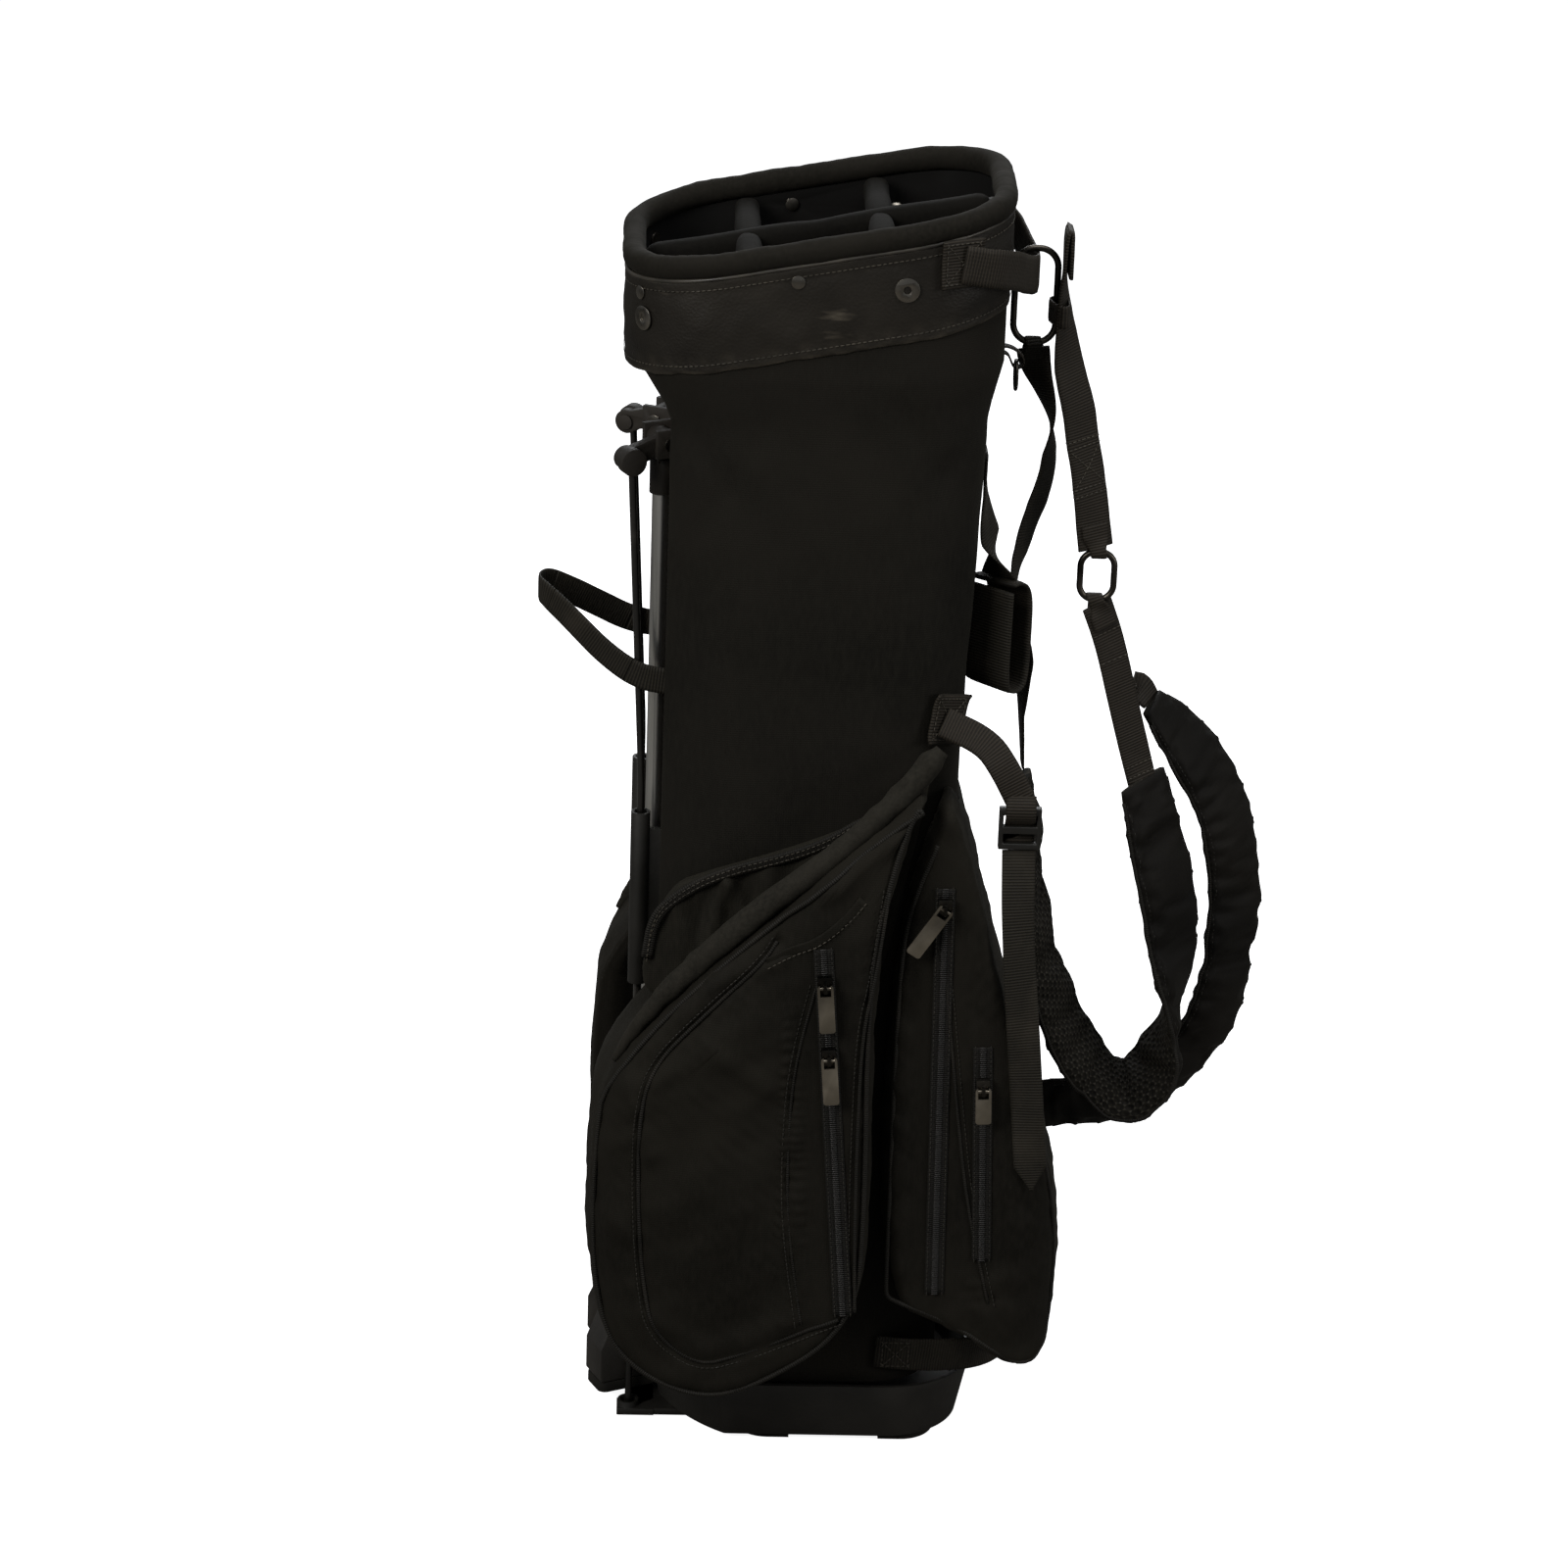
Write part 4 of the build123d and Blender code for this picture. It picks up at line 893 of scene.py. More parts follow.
def rim_padding():
    """Foam rolled in brushed knit, sewn over the top of the collar."""
    inset, below_rim = 5.225, 7.25
    ring = at_slope(cuff_outline(inset, 240), below_rim)
    section = oval(15.4, 15.0, 22, 2.25)
    piece = swept("rim_knit_roll", ring, Z_WAY, section, True)
    flat = spots_of(piece.data) / MM
    count = len(section)
    rows = len(flat) // count
    shape = flat.reshape(rows, count, 3)
    middle = shape.mean(1, keepdims=True)
    along = np.linspace(0, 2 * pi, rows)[:, None] * np.ones((1, count))
    round_it = np.linspace(0, 2 * pi, count, endpoint=False)[None] * np.ones((rows, 1))
    tuck = 0.12 * np.sin(along * 71 + 2.0 * round_it + 3 * np.sin(along * 5))
    tuck *= ease(0.5 + 0.8 * np.sin(along * 3 + 1.0))
    push = tuck + 0.45 * ripple(flat, 36, 41).reshape(rows, count)
    push[-1] = push[0]
    shape += push[..., None] * unit(shape - middle)
    move_spots(piece.data, shape * MM)
    finish(piece, knit, replaces=["rim_roll"])


BAR_LEFT, BAR_RIGHT = -45.0, 40.0     # X of the two bars that run from front to back
WALL_FOOT = 61.0          # height of the divider walls' lower edges
WALL_TOP = 32.5           # depth of their upper edges under the rim
BACK_DEPTH = 87.6         # Y where the cross walls meet the tube


def divider_bars():
    """Padded bars across the mouth."""
    below_rim = 21.5
    half_x, half_y = 110.4, 84.4
    bars = []
    for name, first, last, across in (
            ("long", (-half_x, 0), (half_x, 0), Y_WAY),
            ("left", (BAR_LEFT, -half_y), (BAR_LEFT, half_y), X_WAY),
            ("right", (BAR_RIGHT, -half_y), (BAR_RIGHT, half_y), X_WAY)):
        path = at_slope(np.linspace(first, last, 60), below_rim)
        at = np.linspace(-1, 1, 60)
        fat = 1 - 0.10 * np.exp(-(at / 0.12) ** 2) + 0.03 * np.sin(at * 9 + len(name))
        end = 1 - 0.35 * np.clip((np.abs(at) - 0.93) / 0.07, 0, 1) ** 2
        bars.append(swept("bar_" + name, path, across, oval(17, 19, 20, 2.7), False,
                          np.column_stack([fat * end, fat * end])))
    piece = joined("divider_knit_padding", bars)
    finish(piece, shaded_divider_knit, replaces=["divider_padding"])


def divider_wall(name, ends_at, nodes=()):
    """A cloth wall from the bars to the base. ends_at gives its two ends in plan at a height."""
    count_up, count_across = 40, 14
    rows = np.linspace(0, 1, count_up)
    cols = np.linspace(0, 1, count_across)
    grid = np.zeros((count_up, count_across, 3))
    for i, t in enumerate(rows):
        a, b = ends_at(WALL_FOOT + t * 768)
        for k in (0, 1):
            grid[i, :, k] = a[k] + cols * (b[k] - a[k])
        top = RIM - WALL_TOP + SLOPE * grid[i, :, 0]
        grid[i, :, 2] = WALL_FOOT + t * (top - WALL_FOOT)
    flat = grid.reshape(-1, 3)
    hold = np.outer(np.sin(pi * rows), np.sin(pi * cols)).reshape(-1)
    step = np.subtract(*ends_at(400)[::-1])
    way = Y_WAY if abs(step[0]) > 1 else X_WAY
    flat += (hold * 1.6 * ripple(flat, 160, 50 + len(name), 2))[:, None] * way
    sheet = grid_piece(name, grid, around=False)
    thicken(sheet, 1.6, 0.0)
    finish(sheet, painted_shade_lining, replaces=nodes)


def dividers():
    """The bars across the mouth, and the walls that hang from them."""
    gap = 1.4             # from a bar's middle to the wall beside it

    def left_x(z):
        return np.interp(z, [760, 768], [-77.8, -113.5])

    def right_x(z):
        width, _, _, shift = tube_size(z)
        return shift + width / 2 - (4.2 if z < 745 else 9.8)

    divider_bars()
    divider_wall("divider_wall_leg_side",
                 lambda z: ((left_x(z), 0), (BAR_LEFT - gap, 0)), ["divider_panels"])
    divider_wall("divider_wall_middle",
                 lambda z: ((BAR_LEFT + gap, 0), (BAR_RIGHT - gap, 0)))
    divider_wall("divider_wall_strap_side",
                 lambda z: ((BAR_RIGHT + gap, 0), (right_x(z), 0)))
    for name, x in (("divider_wall_cross_leg_side", BAR_LEFT),
                    ("divider_wall_cross_strap_side", BAR_RIGHT)):
        divider_wall(name, lambda z, x=x: ((x, -BACK_DEPTH), (x, BACK_DEPTH)))


# ---------------------------------------------------------------- pockets

def pouch(name, outline, centre, face, edge, back, relief_at, columns, rings, wall=0.0,
          side=1, wear_at=None):
    """A boxed pocket: a front panel, a rounded edge, side walls and a closed back. Its outline is
    in X and Z, and it faces -Y. face and back give Y, relief_at what stands out from the face,
    edge the radius of the edge and wall the hollow of the walls. side -1 makes the one on the far
    side."""
    line = spaced(rounded(outline, 3, closed=True), columns, closed=True)
    step = np.roll(line, -1, 0) - np.roll(line, 1, 0)
    inward = unit(np.column_stack([-step[:, 1], step[:, 0]]))
    if ((np.array(centre) - line) * inward).sum() < 0:
        inward = -inward
    centre = np.array(centre, float)
    ray = line - centre
    reach = np.linalg.norm(ray, axis=1)
    facing = np.clip(-(ray * inward).sum(1) / reach, 0.25, 1)
    inset = smoothed(np.clip(edge / (facing * reach), 0, 0.22), 6, "wrap")[:, None]
    panel = centre + ray * (1 - inset)
    rows = []

    def put(ring, y):
        rows.append(np.column_stack([ring[:, 0], y, ring[:, 1]]))

    for t in np.linspace(0.015, 1, rings) ** 0.85:
        ring = centre + t * (panel - centre)
        put(ring, face(ring[:, 0], ring[:, 1]) - relief_at(ring[:, 0], ring[:, 1]))
    for a in np.radians([15, 30, 45, 60, 75, 90]):
        ring = centre + ray * (1 - inset * (1 - np.sin(a)))
        put(ring, face(ring[:, 0], ring[:, 1]) - relief_at(ring[:, 0], ring[:, 1]) * np.cos(a)
            + edge * (1 - np.cos(a)))
    front = rows[-1][:, 1]
    rear = back(line[:, 0], line[:, 1])
    for t in np.linspace(0.12, 1, 9):
        put(line - inward * (wall * np.sin(pi * t)), front + t * (rear - front))
    for t in (0.97, 0.9, 0.8, 0.65, 0.5, 0.35, 0.2, 0.06):
        ring = centre + t * (line - centre)
        put(ring, back(ring[:, 0], ring[:, 1]))
    grid = np.array(rows)
    wear = None
    if wear_at is not None:
        wear = wear_at(grid[..., 0], grid[..., 1], grid[..., 2])
    grid[..., 1] *= side
    # the rows next to both poles are levelled, so that no spike forms there
    pole_rows = 6
    for end in (grid[:pole_rows], grid[::-1][:pole_rows]):
        level = end[..., 1].mean()
        blend = np.linspace(0, 1, pole_rows)[:, None] ** 2
        end[..., 1] = level + (end[..., 1] - level) * blend
    piece = grid_piece(name, grid, True, (True, True), wear)
    edited(piece.data, lambda work: bmesh.ops.remove_doubles(work, verts=work.verts,
                                                             dist=0.35 * MM))
    return piece, line, inward


def wrinkled(piece, amount, size, seed, keep, side=1):
    """Pushes the skin in and out along its normals. keep says how much of it each point takes."""
    outwards(piece)
    at = spots_of(piece.data) / MM
    look = at * (1, side, 1)
    push = amount * ripple(look, size, seed, 3) * keep(look)
    move_spots(piece.data, (at + push[:, None] * point_normals(piece.data)) * MM)


SIDE_OUTLINE = [(-128, 318), (-137, 232), (-135, 140), (-117, 92), (-68, 62), (-24, 68), (46, 118),
                (52, 200), (47, 380), (66, 476), (86, 512)]
SIDE_ZIP = np.array([(14, 400), (36, 132)], float)
PANEL_SEAM = rounded([(-16, 402), (-22, 391), (-68, 344), (-93, 315), (-103, 286), (-104, 231),
                      (-100, 158), (-91, 114), (-61, 90), (-30, 100), (-3, 112), (33, 128)], 2)
GATHER_SEAM = rounded([(10, 372), (-3, 312), (-5, 239), (-2, 190), (8, 124)], 2)
FLAP_EDGE = rounded([(-22, 388), (-2, 400), (11, 405), (31, 423), (39, 434)], 2)
RIGHT_SEAM = rounded([(56, 440), (49, 379), (42, 342), (41, 273), (42, 186), (44, 134)], 2)


def groove(points, line, width, depth):
    """How deep the skin is drawn in along a line."""
    gap, _, _ = along_line(points, line)
    return depth * np.exp(-(gap / width) ** 2)


def on_panel(points, lift, face, relief_at, side=1):
    """A line in X and Z laid on a pocket's front, `lift` outside it."""
    points = spaced(points, max(6, int(line_length(points) / 3)))
    y = face(points[:, 0], points[:, 1]) - relief_at(points[:, 0], points[:, 1])
    return np.column_stack([points[:, 0], (y - lift) * side, points[:, 1]])


def side_relief(x, z):
    """How far the pocket's front panel stands out from its flat face."""
    points = np.column_stack([np.ravel(x), np.ravel(z)])
    to_zip, _, _ = along_line(points, SIDE_ZIP)
    clear = ease((to_zip - POCKET_ZIP_CLEAR) / 16)
    panel = np.exp(-(((points[:, 0] + 52) / 46) ** 2 + ((points[:, 1] - 235) / 120) ** 2))
    stand = 6.5 * panel + 1.6 * ripple(np.column_stack([points[:, 0], points[:, 1] * 0.6,
                                                        0 * points[:, 0]]), 75, 61, 2)
    stand -= groove(points, PANEL_SEAM, 3.0, 2.4)
    gathers, at, _ = along_line(points, GATHER_SEAM)
    strip = np.exp(-((gathers - 8) / 8) ** 2) * (points[:, 0] > -10)
    stand += 1.7 * strip * np.sin(at / 2.3 + 1.5 * np.sin(at / 17)) ** 2
    stand -= groove(points, GATHER_SEAM, 2.0, 1.5)
    stand -= groove(points, FLAP_EDGE, 1.8, 1.2)
    right, at, _ = along_line(points, RIGHT_SEAM)
    stand += 1.4 * np.exp(-((right - 6) / 6) ** 2) * np.sin(at / 3.1 + np.sin(at / 23)) ** 2
    stand -= groove(points, RIGHT_SEAM, 2.0, 1.6)
    for x0, z0, x1, z1, height in ((-60, 330, -20, 300, 1.6), (-96, 300, -70, 322, 1.2),
                                   (-98, 130, -60, 108, 1.6), (-55, 100, 0, 128, 1.4),
                                   (-128, 200, -106, 190, 1.5), (-126, 250, -106, 262, 1.2),
                                   (-60, 372, 0, 396, 1.3), (20, 440, 60, 480, 1.5),
                                   (-112, 300, -96, 250, 1.6), (-90, 106, -104, 150, 1.4)):
        fold = np.array([(x0, z0), (x1, z1)], float)
        stand += groove(points, fold, 7.0, 1.4 * height)
    return (stand * clear).reshape(np.shape(x))


def side_face(x, z):
    """The front panel, which leans back to the padded roll at the mouth."""
    top = np.interp(x, [-128, -66, 0, 52, 88], [318, 374, 430, 474, 514])
    lean = 6.0 * (1 - ease((top - z) / 60)) * ease((np.abs(x - 12) - 6) / 20)
    wrap = 16.0 * ease((-108 - x) / 32) ** 1.5
    return POCKET_FACE + lean + wrap


def tube_front(x, hand):
    """Y of the tube's front at x, round its corner on the leg side (-1) or strap side (1)."""
    width, depth, corner, shift = TUBE
    over = np.clip(hand * (x - shift) - (width / 2 - corner), 0, corner - 0.5)
    return -(depth / 2 - corner + np.sqrt(corner ** 2 - over ** 2)) - 0.7


def side_back(x, z):
    """The pocket's back, which lies on the gusset above and on the tube below."""
    over_gusset = (x > -34) & (z > 292 + 0.4 * x)
    back = tube_front(x, -1)
    back = np.where(over_gusset, -103.6, back)
    return np.where(x < -93, np.minimum(back, -61.5), back)


def side_wear(x, y, z):
    """Dust near the pocket's foot, and clouds of it elsewhere."""
    spots = np.column_stack([x.ravel(), z.ravel(), y.ravel()])
    cloud = ripple(spots, 60, 8).reshape(x.shape)
    return np.clip(0.5 * np.exp(-((z - 80) / 26) ** 2) + 0.25 * cloud, 0, 1)


def side_pocket(side):
    """The big pocket on the near side (1) or the far side (-1), with its piping and seams."""
    tag = "near" if side > 0 else "far"
    piece, line, inward = pouch("side_pocket_cloth_" + tag, SIDE_OUTLINE, (-75, 300), side_face,
                                13.0, side_back, side_relief, columns=360, rings=48, wall=2.5,
                                side=side, wear_at=side_wear)

    def keep(at):
        to_zip, _, _ = along_line(at[:, [0, 2]], SIDE_ZIP)
        return (ease((to_zip - POCKET_ZIP_CLEAR) / 14) * ease((-64 - at[:, 1]) / 12)
                * ease((at[:, 1] + 200) / 5))

    def on_face(points, lift):
        return on_panel(points, lift, side_face, side_relief, side)

    wrinkled(piece, 1.0, 34, 71 + side, keep, side)
    finish(piece, pocket_cloth, replaces=["side_pocket_" + tag])
    edge = line + inward * 3.2
    y = side_face(edge[:, 0], edge[:, 1]) + 2.4
    ring = np.column_stack([edge[:, 0], y * side, edge[:, 1]])
    pipe = swept("side_pocket_piping_" + tag, ring, Y_WAY, oval(3.4, 3.4, 10), True)
    finish(pipe, binding)
    front = np.array([0, -1.0 * side, 0])
    cords = []
    for seam, size in ((PANEL_SEAM, 2.6), (GATHER_SEAM, 1.8), (RIGHT_SEAM, 2.2)):
        cords.append(swept("cord", on_face(seam, size * 0.25), front, oval(size, size, 8)))
        off = np.column_stack([np.gradient(seam[:, 1]), -np.gradient(seam[:, 0])])
        sew("dark", on_face(seam + 4.0 * unit(off), 0.0), front, 0.5)
    finish(joined("side_pocket_seams_" + tag, cords), binding)
    flap = on_face(FLAP_EDGE, 0.6)
    hem = swept("side_pocket_flap_hem_" + tag, flap,
                np.cross(unit(np.gradient(flap, axis=0)), front), tape_section(6, 1.6))
    finish(hem, pocket_cloth)
    sew("pale", on_face(FLAP_EDGE + (1.2, -2.6), 1.2), front, 0.35)


GUSSET = [(-111, 330), (-92, 418), (-57, 432), (0, 450), (52, 474), (84, 516), (80, 480),
          (44, 300), (-28, 300), (-38, 358)]
GUSSET_EDGE = rounded([(-101, 372), (-97, 401), (-80, 418), (-54, 433), (-8, 446), (18, 457),
                       (36, 470), (52, 477)], 2)


def gusset_relief(x, z):
    """Loose folds that fan out below the gusset's bound edge."""
    points = np.column_stack([np.ravel(x), np.ravel(z)])
    stand = 0.8 * ripple(np.column_stack([points, 0 * points[:, 0]]), 50, 81, 2)
    for x0, z0, x1, z1, height, width in (
            (-53, 437, -35, 394, 3.0, 5), (-50, 423, -63, 369, 2.2, 5),
            (-20, 446, -24, 400, 1.4, 6), (10, 452, 4, 418, 1.5, 6),
            (-84, 410, -70, 372, 1.6, 6), (32, 466, 30, 440, 1.2, 5)):
        fold = np.array([(x0, z0), (x1, z1)], float)
        stand += groove(points, fold, width, height)
        gap, _, _ = along_line(points, fold)
        stand -= 0.7 * height * np.exp(-((gap - 1.8 * width) / width) ** 2)
    return stand.reshape(np.shape(x))


def gussets():
    """The cloth that closes a side pocket's mouth against the tube, bound along its top."""
    front_y, tape_y, tube_y = -99.5, -100.6, -92.7
    panels, edges = [], []
    for side in (1, -1):
        panel, _, _ = pouch("gusset", GUSSET, (0, 390), lambda x, z: np.full(np.shape(x), front_y),
                            3.0, lambda x, z: np.minimum(tube_front(x, -1), tube_y),
                            gusset_relief, columns=220, rings=26, side=side)
        panels.append(panel)
        points = spaced(GUSSET_EDGE, 60)
        path = np.column_stack([points[:, 0], np.full(len(points), tape_y * side),
                                points[:, 1] - 2.0])
        front = np.array([0, -1.0 * side, 0])
        up = np.cross(unit(np.gradient(path, axis=0)), front)
        edges.append(swept("edge", path, up, tape_section(7.5, 3.0)))
        for height in (-1.6, 1.8):
            sew("pale", path + (0, 0, height), front, 1.7)
    finish(joined("pocket_gusset_cloth", panels), gusset_cloth,
           replaces=["pocket_gussets"])
    finish(joined("pocket_gusset_binding", edges), binding)


def mouth_rolls():
    """The padded edges of the side pockets' mouths, knit rolled over foam."""
    rolls = []
    for side in (1, -1):
        points = [(-121, -128, 307), (-106, -130, 334), (-74, -132.5, 375), (-27, -132.5, 420),
                  (10, -130.5, 448.5), (52, -125, 483.9), (88, -111, 525.9)]
        path = soft_path(points, 2.5) * (1, side, 1)
        count, around = len(path), 24
        at = np.linspace(0, 1, count)
        size = np.interp(at, [0, 0.04, 0.3, 0.97, 1], [0.3, 0.46, 1, 1, 0.6])
        grid = sweep(path, Z_WAY, oval(16, 16, around, 2.1),
                     np.column_stack([size, size]))
        middle = grid.mean(1, keepdims=True)
        turn = np.linspace(0, 2 * pi, around, endpoint=False)[None]
        run = at[:, None] * line_length(path)
        push = 0.7 * ripple(grid.reshape(-1, 3), 30, 91, 2).reshape(count, around)
        push += 0.45 * np.sin(run / 3.1 + 1.6 * turn + 2 * np.sin(run / 29)) * ease(
            0.4 + np.sin(run / 37.0))
        grid = grid + push[..., None] * unit(grid - middle)
        rolls.append(grid_piece("roll", grid, True, (True, True)))
    piece = joined("pocket_mouth_rolls", rolls)
    finish(piece, roll_knit, replaces=["pocket_rolls"])


BALL_OUTLINE = [(62, 126), (62, 380), (88, 476), (98, 492), (116, 430), (142, 330), (168, 250),
                (184, 180), (184, 96), (168, 68), (112, 104)]
BALL_ZIP = np.array([(94, 432), (99, 134)], float)
SMALL_ZIP = np.array([(124, 318), (130, 160)], float)
BALL_SEAM = rounded([(90, 392), (96, 377), (107, 285), (118, 202), (136, 127)], 2)
BALL_EDGE = rounded([(88, 462), (73, 420), (67, 380), (66, 300), (66, 217), (66, 138), (67, 129),
                     (74, 126), (112, 110), (142, 90), (168, 75), (180, 98), (181, 178),
                     (166, 247)], 2)


def ball_relief(x, z):
    """How far the ball pocket's front stands out from its plain face."""
    points = np.column_stack([np.ravel(x), np.ravel(z)])
    stand = 4.0 * np.exp(-(((points[:, 0] - 150) / 24) ** 2 + ((points[:, 1] - 170) / 70) ** 2))
    stand += 3.0 * np.exp(-(((points[:, 0] - 76) / 12) ** 2 + ((points[:, 1] - 260) / 90) ** 2))
    stand += 1.2 * ripple(np.column_stack([points[:, 0], points[:, 1] * .5, 0 * points[:, 0]]),
                          55, 62, 2)
    strip, at, _ = along_line(points, BALL_SEAM)
    stand += 1.8 * np.exp(-((strip - 7) / 7) ** 2) * np.sin(at / 3.4 + 1.4 * np.sin(at / 21)) ** 2
    stand -= groove(points, BALL_SEAM, 2.0, 1.8)
    clear = np.ones(len(points))
    for line in (BALL_ZIP, SMALL_ZIP):
        gap, _, _ = along_line(points, line)
        clear *= ease((gap - BALL_ZIP_CLEAR) / 12)
    return (stand * clear).reshape(np.shape(x))


def ball_curve(x):
    """How far the arc of the ball pocket's corner stands from its centre at x."""
    over = np.clip(x - BALL_CORNER_X, 0, BALL_CORNER - 0.5)
    return np.sqrt(BALL_CORNER ** 2 - over ** 2)


def ball_face(x, z):
    """The front, rounded back towards the strap side in plan."""
    return BALL_FACE + BALL_CORNER - ball_curve(x)


def ball_back(x, z):
    """The back, which follows the tube's corner and then stands free of it."""
    tube_end, blend_width = 105.2, 2.2
    corner = tube_front(x, 1)
    open_side = -28 + ball_curve(x) - 0.4
    share = np.clip((x - tube_end) / blend_width, 0, 1)
    return corner + share * (open_side - corner)


def ball_pocket():
    """The pocket on the strap side's front corner, with a long zip and a short one."""
    piece, _, _ = pouch("ball_pocket_cloth", BALL_OUTLINE, (108, 250), ball_face, 7.0,
                        ball_back, ball_relief, columns=340, rings=40, wall=2.0)

    def keep(at):
        clear = np.ones(len(at))
        for zip_line in (BALL_ZIP, SMALL_ZIP):
            gap, _, _ = along_line(at[:, [0, 2]], zip_line)
            clear *= np.where(at[:, 1] < -100, ease((gap - BALL_ZIP_CLEAR) / 12), 1)
        return clear * np.where(at[:, 0] < 108, ease((-62 - at[:, 1]) / 14), 1.0)

    def on_face(points, lift):
        return on_panel(points, lift, ball_face, ball_relief)

    wrinkled(piece, 1.1, 32, 77, keep)
    finish(piece, pocket_cloth, replaces=["ball_pocket"])
    front = np.array([0, -1.0, 0])
    cords = [swept("cord", on_face(BALL_SEAM, 0.5), front, oval(2.0, 2.0, 8)),
             swept("cord", on_face(BALL_EDGE, 0.0) + (0, 1.5, 0), front, oval(3.2, 3.2, 8))]
    finish(joined("ball_pocket_piping", cords), binding)
    sew("dark", on_face(BALL_SEAM + (4.0, 0), 0), front, 0.5)


# ---------------------------------------------------------------- zips

def zips():
    """Woven tapes with a nylon coil down the middle and a row of stitches down each side."""
    front = np.array([0, -1.0, 0])
    above_face, count = 0.75, 80
    tapes = []
    for (top, bottom), face in ((SIDE_ZIP, POCKET_FACE), (BALL_ZIP, BALL_FACE),
                                (SMALL_ZIP, BALL_FACE)):
        ends = np.array([(x, face - above_face, z) for x, z in (top, bottom)])
        path = spaced(ends, count)
        across = unit(np.cross(ends[1] - ends[0], front))
        path[:, 1] += 0.12 * np.sin(np.linspace(0, 60, count))
        tapes.append(swept("tape", path, across, tape_section(13.0, 1.0, 11)))
        sew("coil", path, front, 0.5)
        for hand in (-5.2, 5.2):
            sew("dark", path + across * hand, front, 0.7)
    finish(joined("zip_woven_tapes", tapes), zip_tape, replaces=["zip_tapes"])


# ---------------------------------------------------------------- straps and handles

def mirrored(half):
    """A run of points and its mirror image on the far side, in one line."""
    return half + [(x, -y, z) for x, y, z in reversed(half)]


def wander(path, size, seed):
    """A smooth random shift for each point of a path, in all three directions."""
    return np.stack([ripple(path + 50 * k, size, seed + k) for k in range(3)], 1)


def box_stitch(centre, right, up, wide, high, lift):
    """A sewn square with a cross in it."""
    centre, right, up = (np.array(v, float) for v in (centre, right, up))
    out = unit(np.cross(right, up))
    half_w, half_h = wide / 2, high / 2
    corners = [centre + right * a * half_w + up * b * half_h
               for a, b in ((-1, -1), (1, -1), (1, 1), (-1, 1), (-1, -1), (1, 1))]
    sew("pale", spaced(corners, 60), out, lift)
    sew("pale", spaced([corners[3], corners[1]], 20), out, lift)


def corner_spot(width, depth, corner, shift, angle, height):
    """A place on a rounded corner of the strap side: its point, level direction and outwards."""
    nx, ny = sin(radians(angle)), -cos(radians(angle))
    point = np.array([shift + width / 2 - corner + corner * nx,
                      corner * ny - (depth / 2 - corner), height])
    return point, np.array([-ny, nx, 0.0]), np.array([nx, ny, 0.0])


def flat_patch(centre, right, up, wide, high, wall, curl):
    """A sewn patch of webbing, its corners lifted by `curl`."""
    count = 11
    across = np.linspace(-0.5, 0.5, count)
    out = unit(np.cross(right, up))
    grid = np.zeros((count, count, 3))
    for i, b in enumerate(across):
        for j, a in enumerate(across):
            lift = curl * (abs(2 * a) ** 4 * abs(2 * b) ** 4)
            grid[i, j] = centre + right * a * wide + up * b * high + out * lift
    flat = grid.reshape(-1, 3)
    flat += (0.3 * ripple(flat, 18, 15))[:, None] * out
    patch = grid_piece("patch", grid, around=False)
    outwards(patch)
    return thicken(patch, wall, 0.0)


def upper_anchors():
    """Patches sewn to the cuff's corners, the webbing that joins them and holds the strap, and the
    tab that holds the tag ring."""
    spot, right, out = corner_spot(*CUFF, 28, RIM - 14)
    parts = []
    for side in (1, -1):
        mirror = np.array([1, side, 1])
        middle, turn = (spot + out * 1.6) * mirror, right * mirror * side
        parts.append(flat_patch(middle, turn, Z_WAY, 30, 32, 1.6, 1.2))
        box_stitch(middle, turn, Z_WAY, 24, 26, 1.1)
    line = soft_path(mirrored([tuple(spot + out * 3.6), (122, -84, 842), (144, -16, 819)]))
    line = line + 0.8 * wander(line, 44, 130)
    band = swept("bridle", line, Z_WAY, tape_section(25, 2.6))
    tab = [(122.6, -8, 770), (126, -8, 770), (131, -8, 768), (136, -8, 763.5), (137, -8, 759),
           (134.5, -8, 755.5), (130, -8, 756), (128.2, -8, 760), (126.4, -8, 764.5),
           (122.6, -8, 766)]
    loop = swept("tab", soft_path(tab, 1.0), Y_WAY, tape_section(9, 1.2, 7))
    piece = joined("upper_anchor_webbing", parts + [band, loop])
    finish(piece, old_webbing, replaces=["upper_anchors"])


def hanging_strap(name, points, across, width, wall, nodes, material):
    """Webbing along a path, which it leaves a little everywhere but at its ends."""
    path = soft_path(points, 2.5)
    at = np.linspace(0, 1, len(path))
    free = np.minimum(1, np.minimum(at, 1 - at) * 8)[:, None]
    path = path + 0.5 * free * wander(path, 50, 3)
    piece = swept(name, path, across, tape_section(width, wall, 11))
    finish(piece, material, replaces=nodes)
    return path


def cross_lines(path, wide, face, shares, reach, count, lift):
    """Lines of stitches across a strap, on both of its faces."""
    for share in shares:
        k = int(share * len(path))
        for hand in (1, -1):
            line = np.array([path[k] + wide[k] * reach * t for t in np.linspace(-1, 1, count)])
            sew("pale", line, face[k] * hand, lift)


